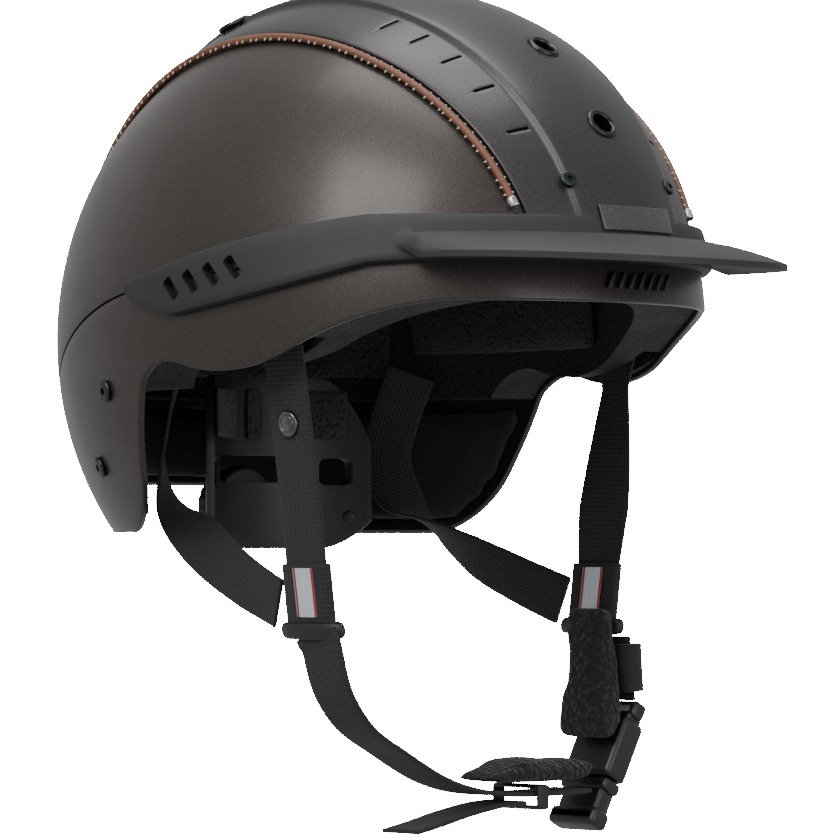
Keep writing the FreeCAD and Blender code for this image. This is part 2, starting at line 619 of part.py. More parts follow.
def buildStraps():
    halfWeb = "Sizes.webWidth / 2"
    halfTab = halfWeb + " + 1.5"
    halfSlot = halfWeb + " + Sizes.ringPlay"
    sewn = "Sizes.webThick * 2 + Sizes.tapeThick"
    tabTop = -90.6
    for side, name in ((-1, "right"), (1, "left")):
        web = sidePlate("FrontWeb_" + name, side, "Sizes.strapInset", strapBlock(halfWeb, tabTop + 0.6, 5),
                        "Sizes.webThick")
        hole = pinBlank("WebHole_" + name, side)
        hole.setExpression("Radius", "Sizes.pinRadius + Sizes.runFit")
        node(cut("FrontStrap_" + name, web, hole), "front_strap_" + name)
        node(pinBlank("AnchorPin_" + name, side), "anchor_pin_" + name)
        route = outline("RearRoute_" + name, rearRoute, closed=False)
        route.Placement = sidePlane(side, rearInside, 0, rearSwing)
        band = thickened("RearBand_" + name, route, "-Sizes.webWidth")
        inner, outer = ("0", "Sizes.webThick") if side < 0 else ("Sizes.webThick", "0")
        node(extrude("RearStrap_" + name, band, inner, outer), "rear_strap_" + name)
        lift = value("Sizes.webThick + Sizes.layerGap")
        node(sideButton("Rivet_" + name, side, -37, "Sizes.rivetRadius", lift, "Sizes.rivetRadius / 2"),
             "strap_rivet_" + name)
        tab = strapBlock(halfTab, "Sizes.ringHeight - 3", tabTop)
        node(sidePlate("Tab_" + name, side, "Sizes.strapInset + 1", tab, sewn), "divider_tab_" + name)
        tape = strapBlock("Sizes.tapeWidth / 2", "Sizes.ringHeight + 5", tabTop - 1.4)
        over = sewn + " + Sizes.layerGap"
        node(sidePlate("Tape_" + name, side, "Sizes.strapInset + 1", tape, "Sizes.tapeThick", over),
             "tape_" + name)
        bar = "Sizes.ringBar"
        body = strapBlock(halfSlot + " + Sizes.ringEnd", "Sizes.ringHeight - 3.5", "Sizes.ringHeight + 3.5")
        hollow = strapBlock(halfSlot, "Sizes.ringHeight - 10", "Sizes.ringHeight + 10")
        room = "Sizes.webThick * 2 + 2.4"
        inset = "Sizes.strapInset + 2"
        outside = sidePlate("RingBody_" + name, side, inset + " + " + bar, body, "%s + %s * 2" % (room, bar))
        inside = sidePlate("RingSlot_" + name, side, inset, hollow, room)
        node(cut("Ring_" + name, outside, inside), "divider_ring_" + name)


# the webbing and pads under the chin seen from the front: across from the shell's side, height along Z
chinRoute = [("35 - Sizes.halfWidth", -121, -8.3), (-44, -161, -3.1), (6, -178, -0.8),
             ("Sizes.halfWidth - 53.8", -179.6)]
tailRoute = [(20, -182.4, -1.2), (-38, -191)]
dropEdge = [(-35, -120.5), ("Sizes.webThick - 35", -120.5), ("Sizes.webThick - 32", -143.5), (-32, -143.5)]
chinPadEdge = [(-2, -172), (5, -175.4), ("Sizes.halfWidth - 56", -175.4),
               ("Sizes.halfWidth - 52.6", -168.5, 2.5), (20, -166.5, 1)]
jawPadEdge = [(-50.5, -111, 5), (-42.5, -111), (-42.5, -121), (-37.7, -124), (-37.4, -150), (-44, -160, 1.5),
              (-53.5, -157), (-51.5, -135)]


def buildChin():
    node(frontWeb("ChinWeb", chinRoute, "-Sizes.webThick", "Sizes.webWidth"), "chin_strap")
    node(frontWeb("TailWeb", tailRoute, "Sizes.webThick", "Sizes.webWidth - 1"), "chin_strap_tail")
    keeper = [(24, -186), (30, -186), (30, -176), (24, -176)]
    slot = [(20, "-186 + Sizes.keeperWall"), (34, "-186 + Sizes.keeperWall"), (34, "-176 - Sizes.keeperWall"),
            (20, "-176 - Sizes.keeperWall")]
    slotWidth = "Sizes.webWidth + Sizes.keeperPlay * 2"
    loop = cut("Keeper", frontBlock("KeeperBody", keeper, slotWidth + " + Sizes.keeperWall * 2", False),
               frontBlock("KeeperSlot", slot, slotWidth, False))
    node(loop, "strap_keeper")
    node(frontBlock("DropWeb", dropEdge, "Sizes.webWidth - 1"), "drop_strap")
    padWidth = "Sizes.webWidth + Sizes.padSpread * 2"
    node(frontBlock("ChinFleece", chinPadEdge, padWidth, False), "chin_pad")
    node(frontBlock("JawFleece", jawPadEdge, padWidth + " + 2"), "jaw_pad")
    sleeve = [(-36.8, -122), (-28.4, -122), (-26, -141), (-36.8, -141)]
    room = [(-35.8, -118), (-30.4, -118), (-27, -145), (-35.8, -145)]
    wrap = cut("Sleeve", frontBlock("SleeveBody", sleeve, "Sizes.webWidth + 4"),
               frontBlock("SleeveSlot", room, "Sizes.webWidth + 2"))
    node(wrap, "pad_sleeve")


buckleTurn = FreeCAD.Rotation(FreeCAD.Vector(0, 1, 0), 28.5)
buckleInset = 51
buckleLow = -188


def buckleBox(name, low, depth, width, height):
    # a block in the buckle's own frame: its length runs up along the jaw
    block = doc.addObject("Part::Box", name)
    block.setExpression("Length", depth)
    block.setExpression("Width", width)
    block.setExpression("Height", str(height))
    doc.recompute()
    origin = FreeCAD.Vector(value("Sizes.halfWidth") - buckleInset, value("Sizes.chinY"), buckleLow)
    corner = FreeCAD.Vector(value(low[0]), -block.Width.Value / 2, low[1])
    block.Placement = FreeCAD.Placement(origin + buckleTurn.multVec(corner), buckleTurn)
    return block


def buildBuckle():
    body = buckleBox("SocketBody", ("-Sizes.socketDepth / 2", 14), "Sizes.socketDepth", "Sizes.socketWidth",
                     "Sizes.socketLength")
    throatWidth = "Sizes.socketWidth - Sizes.throatWall * 2"
    throat = buckleBox("SocketThroat", ("-Sizes.throatDepth / 2", 13), "Sizes.throatDepth", throatWidth, 23)
    pocketSide = "Sizes.buttonSide + Sizes.buttonFit * 2"
    pocket = buckleBox("ButtonPocket", (3, 25.7), "4", pocketSide, pocketSide)
    node(cut("Socket", body, throat, pocket), "buckle_socket")
    base = buckleBox("TongueBase", (-4.8, -7), "9.6", "Sizes.socketWidth", 20)
    blade = buckleBox("TongueBlade", ("Sizes.bladeFit - Sizes.throatDepth / 2", 10),
                      "Sizes.throatDepth - Sizes.bladeFit * 2", throatWidth + " - Sizes.bladeFit * 2", 25)
    node(fuse("Tongue", base, blade), "buckle_tongue")
    node(buckleBox("Button", (4.6, 26), "2.6", "Sizes.buttonSide", "Sizes.buttonSide"), "buckle_button")


buildShells()
buildLiner()
buildCrest()
buildPiping()
buildFittings()
buildPeak()
buildPads()
buildCradle()
buildStraps()
buildChin()
buildBuckle()
doc.recompute()

for thing in doc.Objects:
    if "Invalid" in thing.State or "Error" in thing.State:
        raise RuntimeError("%s did not build: %s" % (thing.Name, thing.State))
os.makedirs("parts", exist_ok=True)
for solid in nodes:
    if solid.Shape.isNull() or not solid.Shape.isValid() or not solid.Shape.Solids:
        raise RuntimeError("%s has no valid solid" % solid.Label)
    solid.Shape.exportStep("parts/%s.step" % solid.Label)
    print(solid.Label, len(solid.Shape.Solids), round(solid.Shape.Volume))
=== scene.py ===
import math
import bmesh
import bpy
from mathutils import Matrix, Vector


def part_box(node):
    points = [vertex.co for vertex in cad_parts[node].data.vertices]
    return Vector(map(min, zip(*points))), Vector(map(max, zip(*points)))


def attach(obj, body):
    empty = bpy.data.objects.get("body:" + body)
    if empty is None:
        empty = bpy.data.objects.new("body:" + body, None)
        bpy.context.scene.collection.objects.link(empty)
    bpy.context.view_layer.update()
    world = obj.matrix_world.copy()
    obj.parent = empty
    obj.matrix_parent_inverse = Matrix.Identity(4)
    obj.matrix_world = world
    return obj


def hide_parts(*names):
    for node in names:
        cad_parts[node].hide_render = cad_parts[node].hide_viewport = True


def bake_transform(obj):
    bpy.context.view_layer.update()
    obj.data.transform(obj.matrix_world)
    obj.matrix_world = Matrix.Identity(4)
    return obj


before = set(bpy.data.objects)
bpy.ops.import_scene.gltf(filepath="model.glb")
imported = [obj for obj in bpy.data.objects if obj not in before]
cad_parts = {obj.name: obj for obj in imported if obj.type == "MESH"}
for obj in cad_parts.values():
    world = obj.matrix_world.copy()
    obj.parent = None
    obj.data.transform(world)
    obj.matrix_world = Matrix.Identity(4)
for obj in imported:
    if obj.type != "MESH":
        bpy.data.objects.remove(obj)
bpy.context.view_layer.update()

mm = 0.001

# the shell is an ellipsoid about the origin; every layer is a rise above it
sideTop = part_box("lower_shell")[1]
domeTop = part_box("upper_shell")[1]
shell = {"wide": sideTop.x, "long": domeTop.y, "high": domeTop.z}
reach = 165

# edges seen from the side, as (y, z) in millimetres, front to back; a third number is
# the bulge of the run that leaves the corner
seamCorners = [(-reach, 28, 2.5), (20, 15, 7), (112, -26), (reach, -26)]
lowerCorners = [(-145, 8), (-112, 8, 2.8), (-58, -11, -4.6), (-8, -14, 4), (15, -21), (26, -56, -3.6),
                (48, -78),
                (86, -78), (112, -58), (145, -58)]
# the crest seen from above, as (y, x)
panelCorners = [(-150, 36, 2.7), (-60, 57, 3), (60, 55), (reach, 36)]
ridgeCorners = [(-150, 22, 1.5), (-56, 35, 1.2), (40, 35), (reach, 24)]


# small tools
def curvePoints(points, count):
    # evenly spaced places on a smooth line through the points
    dense = []
    padded = [points[0]] + list(points) + [points[-1]]
    for i in range(1, len(padded) - 2):
        p0, p1, p2, p3 = [Vector(p) for p in padded[i - 1:i + 3]]
        for k in range(12):
            t = k / 12
            dense.append(0.5 * (2 * p1 + (p2 - p0) * t + (2 * p0 - 5 * p1 + 4 * p2 - p3) * t * t
                                + (3 * p1 - 3 * p2 + p3 - p0) * t ** 3))
    dense.append(Vector(points[-1]))
    reach = [0.0]
    for a, b in zip(dense, dense[1:]):
        reach.append(reach[-1] + (b - a).length)
    result = []
    j = 0
    for i in range(count):
        goal = reach[-1] * i / (count - 1)
        while j < len(dense) - 2 and reach[j + 1] < goal:
            j += 1
        share = (goal - reach[j]) / max(reach[j + 1] - reach[j], 1e-9)
        result.append(dense[j].lerp(dense[j + 1], min(1.0, share)))
    return result


def readLine(points, at, key=0):
    # the other coordinate of a line of points where one coordinate is `at`
    other = 1 - key
    for a, b in zip(points, points[1:]):
        if a[key] <= at <= b[key]:
            share = (at - a[key]) / max(b[key] - a[key], 1e-9)
            return a[other] + (b[other] - a[other]) * share
    return points[0][other] if at < points[0][key] else points[-1][other]


def edgeRun(corners, steps=16):
    # places along straight runs and shallow bows between corners
    places = []
    for here, following in zip(corners, corners[1:]):
        start, end = Vector(here[:2]), Vector(following[:2])
        left = Vector((start.y - end.y, end.x - start.x)).normalized()
        bulge = here[2] if len(here) > 2 else 0
        for k in range(steps):
            share = k / steps
            places.append(tuple(start.lerp(end, share) + left * bulge * (1 - (2 * share - 1) ** 2)))
    return places + [tuple(corners[-1][:2])]


seamLine = edgeRun(seamCorners)
panelLine = edgeRun(panelCorners)
ridgeLine = edgeRun(ridgeCorners)


def lifted(place, rise):
    # a place on the shell moved out along the shell's normal
    out = Vector((place.x / shell["wide"] ** 2, place.y / shell["long"] ** 2, place.z / shell["high"] ** 2))
    return place + out.normalized() * rise


def onMeridian(turn, tilt, rise):
    place = Vector((shell["wide"] * math.cos(tilt) * math.cos(turn),
                    shell["long"] * math.cos(tilt) * math.sin(turn), shell["high"] * math.sin(tilt)))
    return lifted(place, rise)


def besideShell(y, z, rise, side):
    share = max(0.0, 1 - (y / shell["long"]) ** 2 - (z / shell["high"]) ** 2)
    return lifted(Vector((side * shell["wide"] * math.sqrt(share), y, z)), rise)


def overShell(x, y, rise):
    share = max(0.0, 1 - (x / shell["wide"]) ** 2 - (y / shell["long"]) ** 2)
    return lifted(Vector((x, y, shell["high"] * math.sqrt(share))), rise)


def clearSelection():
    if bpy.context.object and bpy.context.object.mode != "OBJECT":
        bpy.ops.object.mode_set(mode="OBJECT")
    bpy.ops.object.select_all(action="DESELECT")


def choose(piece):
    clearSelection()
    piece.hide_set(False)
    piece.select_set(True)
    bpy.context.view_layer.objects.active = piece
    return piece


def newest(name):
    piece = bpy.context.object
    piece.name = name
    piece.data.name = name
    return piece


def settle(piece):
    # the object's own place and turn go into its mesh
    choose(piece)
    bpy.ops.object.transform_apply(location=True, rotation=True, scale=True)
    return piece


def finishWith(piece, kind, **settings):
    choose(piece)
    modifier = piece.modifiers.new(kind.title(), kind)
    for key, value in settings.items():
        setattr(modifier, key, value)
    bpy.ops.object.modifier_apply(modifier=modifier.name)
    return piece


def smooth(piece, degrees=35):
    choose(piece)
    bpy.ops.object.shade_smooth_by_angle(angle=math.radians(degrees))
    return piece


def outward(piece):
    choose(piece)
    bpy.ops.object.mode_set(mode="EDIT")
    bpy.ops.mesh.select_all(action="SELECT")
    bpy.ops.mesh.remove_doubles(threshold=0.00001)
    bpy.ops.mesh.normals_make_consistent(inside=False)
    bpy.ops.object.mode_set(mode="OBJECT")
    return piece


def netPiece(name, rows, closed=False, wrap=False, crown=False):
    # a net of quads through rows of places; the UV map holds its real lengths
    mesh = bmesh.new()
    layer = mesh.loops.layers.uv.new("UVMap")
    net = [[mesh.verts.new(place) for place in row] for row in rows]
    across = len(rows[0])
    down = [0.0]
    for a, b in zip(rows, rows[1:]):
        down.append(down[-1] + (b[across // 2] - a[across // 2]).length)
    middle = rows[len(rows) // 2]
    along = [0.0]
    for i in range(1, across + 1):
        along.append(along[-1] + (middle[i % across] - middle[i - 1]).length)
    rounds = across if closed else across - 1
    for i in range(len(rows) - 1):
        for j in range(rounds):
            k = (j + 1) % across
            face = mesh.faces.new((net[i][j], net[i][k], net[i + 1][k], net[i + 1][j]))
            face.smooth = True
            spots = ((along[j], down[i]), (along[j + 1], down[i]), (along[j + 1], down[i + 1]),
                     (along[j], down[i + 1]))
            for loop, spot in zip(face.loops, spots):
                loop[layer].uv = spot
    if wrap:
        mesh.faces.new(net[0][::-1])
    if wrap or crown:
        mesh.faces.new(net[-1])
    data = bpy.data.meshes.new(name)
    mesh.to_mesh(data)
    mesh.free()
    piece = bpy.data.objects.new(name, data)
    bpy.context.collection.objects.link(piece)
    return piece


def cutWith(piece, tools):
    # the tools leave their holes and go
    for tool in tools:
        finishWith(piece, "BOOLEAN", object=tool, operation="DIFFERENCE", solver="EXACT")
        bpy.data.objects.remove(tool)
    return piece


def joined(pieces, name):
    clearSelection()
    for piece in pieces:
        piece.select_set(True)
    bpy.context.view_layer.objects.active = pieces[0]
    if len(pieces) > 1:
        bpy.ops.object.join()
    return newest(name)


def turnOnto(direction):
    return Vector(direction).to_track_quat("Z", "Y")


def standOn(piece, place, direction):
    # the piece, made upright at the origin, is stood on a place and settled
    piece.matrix_world = Matrix.Translation(place) @ turnOnto(direction).to_matrix().to_4x4()
    return settle(piece)


def shellNormal(place):
    return Vector((place.x / shell["wide"] ** 2, place.y / shell["long"] ** 2,
                   place.z / shell["high"] ** 2)).normalized()


def dress(piece, material, body, *nodes, slot=None):
    piece.data.materials.clear()
    piece.data.materials.append(material)
    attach(piece, body)
    if nodes:
        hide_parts(*nodes)
    return piece


# finishes
class Wire:
    # one value in a material; sums on it add Math nodes
    def __init__(self, look, socket):
        self.look = look
        self.socket = socket

    def sums(self, operation, first, second=None):
        values = {0: first}
        if second is not None:
            values[1] = second
        return self.look.add("ShaderNodeMath", {"operation": operation}, values)

    def __add__(self, other):
        return self.sums("ADD", self, other)

    def __radd__(self, other):
        return self.sums("ADD", other, self)

    def __sub__(self, other):
        return self.sums("SUBTRACT", self, other)

    def __rsub__(self, other):
        return self.sums("SUBTRACT", other, self)

    def __mul__(self, other):
        return self.sums("MULTIPLY", self, other)

    def __rmul__(self, other):
        return self.sums("MULTIPLY", other, self)

    def __truediv__(self, other):
        return self.sums("DIVIDE", self, other)

    def __pow__(self, other):
        return self.sums("POWER", self, other)

    def __gt__(self, other):
        return self.sums("GREATER_THAN", self, other)

    def __lt__(self, other):
        return self.sums("LESS_THAN", self, other)

    def sine(self):
        return self.sums("SINE", self)

    def size(self):
        return self.sums("ABSOLUTE", self)


class Look:
    def __init__(self, name, **constants):
        self.material = bpy.data.materials.new(name)
        self.material.use_nodes = True
        self.tree = self.material.node_tree
        self.shader = self.tree.nodes["Principled BSDF"]
        for key, value in constants.items():
            self.shader.inputs[key.replace("_", " ")].default_value = value

    def add(self, kind, settings=None, inputs=None, output=0):
        node = self.tree.nodes.new(kind)
        for key, value in (settings or {}).items():
            setattr(node, key, value)
        for key, value in (inputs or {}).items():
            if isinstance(value, Wire):
                self.tree.links.new(value.socket, node.inputs[key])
            else:
                node.inputs[key].default_value = value
        return Wire(self, node.outputs[output])

    def places(self, scale=(1, 1, 1), turn=(0, 0, 0), uv=False):
        spot = self.add("ShaderNodeTexCoord", output="UV" if uv else "Object")
        return self.add("ShaderNodeMapping", inputs={"Vector": spot, "Scale": scale, "Rotation": turn})

    def noise(self, scale, detail=3, rough=0.5, spot=None):
        spot = spot or self.places()
        return self.add("ShaderNodeTexNoise", inputs={"Vector": spot, "Scale": scale, "Detail": detail,
                                                      "Roughness": rough})

    def cells(self, scale, spot=None, feature="F1"):
        spot = spot or self.places()
        return self.add("ShaderNodeTexVoronoi", {"feature": feature}, {"Vector": spot, "Scale": scale})

    def range(self, value, low, high, newLow=0.0, newHigh=1.0):
        return self.add("ShaderNodeMapRange", {"interpolation_type": "SMOOTHSTEP"},
                        {"Value": value, "From Min": low, "From Max": high, "To Min": newLow,
                         "To Max": newHigh})

    def mixed(self, share, first, second):
        node = self.tree.nodes.new("ShaderNodeMix")
        node.data_type = "RGBA"
        for key, value in ((0, share), (6, first), (7, second)):
            if isinstance(value, Wire):
                self.tree.links.new(value.socket, node.inputs[key])
            else:
                node.inputs[key].default_value = value
        return Wire(self, node.outputs[2])

    def axes(self, spot):
        node = self.tree.nodes.new("ShaderNodeSeparateXYZ")
        self.tree.links.new(spot.socket, node.inputs[0])
        return [Wire(self, socket) for socket in node.outputs]

    def paint(self, **wires):
        for key, value in wires.items():
            self.tree.links.new(value.socket, self.shader.inputs[key.replace("_", " ")])

    def bump(self, height, strength, distance):
        normal = self.add("ShaderNodeBump", inputs={"Height": height, "Strength": strength,
                                                    "Distance": distance})
        self.paint(Normal=normal)


def colour(red, green, blue):
    return (red, green, blue, 1.0)


def lacquer(name, base, glint, rough):
    # satin metallic paint: fine flakes, a faint orange peel and soft handling marks
    look = Look(name, Metallic=0.55, Coat_Roughness=0.22)
    flakes = look.range(look.noise(2600, 2), 0.45, 0.75)
    cloud = look.noise(9, 4)
    shade = look.mixed(flakes * 0.5, colour(*base), colour(*glint))
    tone = look.mixed(look.range(cloud, 0.3, 0.75, 0, 0.28), shade, colour(*[v * 0.7 for v in base]))
    look.paint(Base_Color=tone, Roughness=look.range(cloud, 0.2, 0.8, rough - 0.04, rough + 0.07),
               Coat_Weight=look.range(look.noise(30, 2), 0.2, 0.8, 0.22, 0.34))
    look.bump(look.noise(900, 3), 0.05, 0.0004)
    return look.material


def moulded(name, base, rough, grain=1500, depth=0.12, metal=0.0):
    # moulded or soft-touch plastic with a spark-eroded grain
    look = Look(name, Metallic=metal)
    cloud = look.noise(14, 4)
    tone = look.mixed(look.range(cloud, 0.25, 0.8), colour(*base), colour(*[v * 1.45 for v in base]))
    look.paint(Base_Color=tone, Roughness=look.range(cloud, 0.2, 0.8, rough - 0.05, rough + 0.07))
    look.bump(look.noise(grain, 3), depth, 0.0004)
    return look.material


def plated(name, base, rough):
    # dark plated metal with turning marks
    look = Look(name, Metallic=1.0)
    marks = look.noise(240, 5)
    tone = look.mixed(look.range(marks, 0.35, 0.7), colour(*base), colour(*[v * 1.7 for v in base]))
    look.paint(Base_Color=tone, Roughness=look.range(marks, 0.2, 0.8, rough - 0.06, rough + 0.1))
    look.bump(marks, 0.06, 0.0003)
    return look.material


def webbing(name, base, paintedHighlight):
    # coarse woven webbing: warp cords along, weft ribs across, firm edges; painted highlight on the raised
    # weave, painted shade in its hollows
    look = Look(name, Sheen_Weight=0.06, Sheen_Roughness=0.5)
    across, along, _ = look.axes(look.places(uv=True))
    warp = (across * 4200.0).sine()
    weft = (along * 3400.0 + warp * 0.9).sine()
    height = look.range(warp * 0.5 + weft * 0.5, -1.0, 1.0)
    fuzz = look.noise(1800, 3)
    # painted light: the raised weave gets the painted highlight colour, the hollows the dark base as painted
    # shade
    tone = look.mixed(height * 0.75 + fuzz * 0.25, colour(*base), colour(*paintedHighlight))
    look.paint(Base_Color=tone, Roughness=look.range(fuzz, 0.2, 0.8, 0.72, 0.9))
    look.bump(height + fuzz * 0.3, 0.7, 0.0006)
    return look.material


def fleece(name, base, paintedHighlight, curl=420):
    # clumped pile: soft tufts of two sizes, painted highlight on the tufts and painted shade between them
    look = Look(name, Roughness=0.95, Sheen_Weight=0.12, Sheen_Roughness=0.4)
    tufts = look.cells(curl)
    strands = look.noise(1500, 4)
    height = look.range(tufts, 0.0, 0.8, 1.0, 0.0) * 0.7 + strands * 0.5
    # painted light: tuft tops and raised strands lighter as a painted highlight, the gaps darker as painted
    # shade
    look.paint(Base_Color=look.mixed(look.range(height, 0.3, 1.0), colour(*base), colour(*paintedHighlight)))
    look.bump(height, 0.9, 0.0015)
    return look.material


def spacerMesh(name, base, paintedHighlight):
    # knitted spacer mesh: rows of small round holes, painted dark as shade, threads between them with a
    # painted highlight
    look = Look(name, Sheen_Weight=0.08, Sheen_Roughness=0.5)
    holes = look.range(look.cells(420), 0.15, 0.5)
    threads = look.noise(1400, 3)
    # painted light: the holes take the dark base as painted shade, the threads around them the painted
    # highlight
    look.paint(Base_Color=look.mixed(holes, colour(*base), colour(*paintedHighlight)),
               Roughness=look.range(threads, 0.2, 0.8, 0.75, 0.95))
    look.bump(holes + threads * 0.3, 0.8, 0.001)
    return look.material


def knit(name, base, paintedHighlight):
    # brushed jersey over foam, with a painted highlight on the raised threads and painted shade on the low
    # ones
    look = Look(name, Sheen_Weight=0.1, Sheen_Roughness=0.45)
    x, y, z = look.axes(look.places())
    rows = ((x + y) * 2600.0).sine() * ((z - y * 0.5) * 2600.0).sine()
    threads = look.noise(900, 4)
    # painted light: the same noise that raises the threads lightens them as a painted highlight
    look.paint(Base_Color=look.mixed(threads, colour(*base), colour(*paintedHighlight)),
               Roughness=look.range(threads, 0.2, 0.8, 0.8, 0.95))
    look.bump(look.range(rows, -1, 1) * 0.5 + threads, 0.5, 0.0006)
    return look.material


def foam(name, base):
    # moulded beads of expanded foam, with painted shade in the grooves between beads
    look = Look(name)
    beads = look.cells(260, feature="DISTANCE_TO_EDGE")
    edge = look.range(beads, 0.0, 0.12)
    # painted shade: the grooves between beads are half as bright as the beads
    look.paint(Base_Color=look.mixed(edge, colour(*[v * 0.5 for v in base]), colour(*base)),
               Roughness=look.range(look.noise(80), 0.2, 0.8, 0.7, 0.88))
    look.bump(edge, 0.5, 0.0006)
    return look.material


def leather(name, base, dark):
    # tanned leather: fine pebble grain, with painted shade darkening the creases
    look = Look(name, Coat_Roughness=0.35)
    pebbles = look.cells(1300, feature="DISTANCE_TO_EDGE")
    grain = look.range(pebbles, 0.0, 0.25)
    cloud = look.noise(60, 4)
    # painted shade in the creases between pebbles, mixed with a random cloud in the tone
    tone = look.mixed(grain * 0.6 + cloud * 0.4, colour(*dark), colour(*base))
    look.paint(Base_Color=tone, Roughness=look.range(cloud, 0.2, 0.8, 0.42, 0.6),
               Coat_Weight=look.range(cloud, 0.3, 0.7, 0.05, 0.15))
    look.bump(grain, 0.35, 0.0004)
    return look.material


def thread(name, base):
    look = Look(name, Sheen_Weight=0.3)
    twist = look.noise(2600, 2)
    look.paint(Base_Color=look.mixed(twist, colour(*[v * 0.6 for v in base]), colour(*base)),
               Roughness=look.range(twist, 0.2, 0.8, 0.55, 0.8))
    look.bump(twist, 0.4, 0.0003)
    return look.material


def reflectiveTape(name, width):
    # silver woven tape with a red stripe along both edges
    look = Look(name, Metallic=0.25)
    across, along, _ = look.axes(look.places(uv=True))
    edge = look.range((across - width / 2).size(), width * 0.36, width * 0.4)
    rim = look.range((across - width / 2).size(), width * 0.46, width * 0.48)
    rows = look.range((along * 5200.0).sine() * (across * 5200.0).sine(), -1, 1)
    silver = look.mixed(rows, colour(0.36, 0.4, 0.44), colour(0.66, 0.7, 0.74))
    red = look.mixed(rows, colour(0.22, 0.006, 0.01), colour(0.42, 0.012, 0.022))
    tone = look.mixed(rim, look.mixed(edge, silver, red), colour(0.3, 0.3, 0.32))
    look.paint(Base_Color=tone, Roughness=look.range(rows, 0, 1, 0.35, 0.55))
    look.bump(rows, 0.4, 0.0003)
    return look.material


finish = {
    "shell": lacquer("shellLacquer", (0.026, 0.0205, 0.0182), (0.105, 0.085, 0.074), 0.42),
    "panel": lacquer("panelLacquer", (0.02, 0.0178, 0.0178), (0.085, 0.077, 0.075), 0.46),
    "softTouch": moulded("peakSoftTouch", (0.0065, 0.0082, 0.0095), 0.62, 1300, 0.1),
    "plastic": moulded("blackNylon", (0.005, 0.005, 0.0055), 0.5),
    "buckle": moulded("blackAcetal", (0.005, 0.0052, 0.0058), 0.4, 1900, 0.07),
    "latch": moulded("greyAcetal", (0.03, 0.031, 0.033), 0.34, 1900, 0.07),
    "rubber": moulded("knobRubber", (0.008, 0.008, 0.009), 0.68, 1000, 0.2),
    "eyelet": plated("eyeletPlating", (0.03, 0.036, 0.03), 0.3),
    "screw": plated("screwPlating", (0.035, 0.042, 0.036), 0.34),
    "rivet": plated("rivetPlating", (0.1, 0.097, 0.09), 0.24),
    "clip": plated("clipMetal", (0.4, 0.4, 0.41), 0.28),
    "steel": plated("pinSteel", (0.35, 0.35, 0.36), 0.3),
    "badge": lacquer("badgeLacquer", (0.05, 0.05, 0.053), (0.2, 0.2, 0.21), 0.32),
    # the second colour of webbing, fleece, mesh and jersey is a painted highlight
    "web": webbing("blackWebbing", (0.0015, 0.0015, 0.002), (0.011, 0.0115, 0.0135)),
    "fleece": fleece("blackFleece", (0.0015, 0.0015, 0.002), (0.011, 0.0115, 0.014)),
    "mesh": spacerMesh("blackMesh", (0.002, 0.002, 0.002), (0.012, 0.012, 0.013)),
    "knit": knit("blackJersey", (0.003, 0.003, 0.003), (0.012, 0.012, 0.013)),
    "foam": foam("foamBeads", (0.008, 0.008, 0.0085)),
    # the second colour of the leather is the painted shade of its creases
    "leather": leather("tanLeather", (0.2, 0.07, 0.028), (0.07, 0.022, 0.009)),
    "thread": thread("paleThread", (0.6, 0.56, 0.5)),
    "darkThread": thread("blackThread", (0.03, 0.03, 0.033)),
    "tape": reflectiveTape("reflectiveTape", 11 * mm),
}
print("finishes ready")


# shells
lowerShell = {"wall": 3 * mm, "rows": 16, "columns": 120, "edge": 1.1 * mm}
upperShell = {"wall": 3 * mm, "rows": 34}
eyeletSpots = {"front_low": (0, -121), "front_high": (0, -91), "crown": (0, -12),
               "rear_right": (-34, 44), "rear_left": (34, 44)}


def seamTilt(turn):
    # the tilt at which a meridian meets the seam
    tilt = 0.1
    for _ in range(30):
        y = shell["long"] * math.cos(tilt) * math.sin(turn) / mm
        tilt = 0.5 * tilt + 0.5 * math.asin(readLine(seamLine, y) * mm / shell["high"])
    return tilt


def edgeColumns(count):
    # (turn, tilt) of places along the lower edge, from the front round the left to the back
    columns = []
    for y, z in curvePoints(edgeRun(lowerCorners), count):
        tilt = math.asin(z * mm / shell["high"])
        share = y * mm / (shell["long"] * math.cos(tilt))
        columns.append((math.asin(max(-1.0, min(1.0, share))), tilt))
    columns[0] = (-math.pi / 2, columns[0][1])
    columns[-1] = (math.pi / 2, columns[-1][1])
    return columns


def wholeRound(columns):
    mirrored = [(math.pi - turn, tilt) for turn, tilt in columns[::-1]]
    return columns + mirrored[1:-1]


def buildLowerShell():
    columns = wholeRound(edgeColumns(lowerShell["columns"]))
    seams = [seamTilt(turn) for turn, _ in columns]
    rows = []
    for i in range(lowerShell["rows"]):
        share = i / (lowerShell["rows"] - 1)
        row = []
        for (turn, tilt), top in zip(columns, seams):
            row.append(onMeridian(turn, tilt + (top - 0.0025 - tilt) * share, 0))
        rows.append(row)
    piece = netPiece("lowerShell", rows, closed=True)
    outward(piece)
    finishWith(piece, "SOLIDIFY", thickness=lowerShell["wall"], offset=-1)
    finishWith(piece, "BEVEL", width=lowerShell["edge"], segments=3, limit_method="ANGLE",
               angle_limit=math.radians(50))
    smooth(piece, 50)
    return dress(piece, finish["shell"], "helmet", "lower_shell")


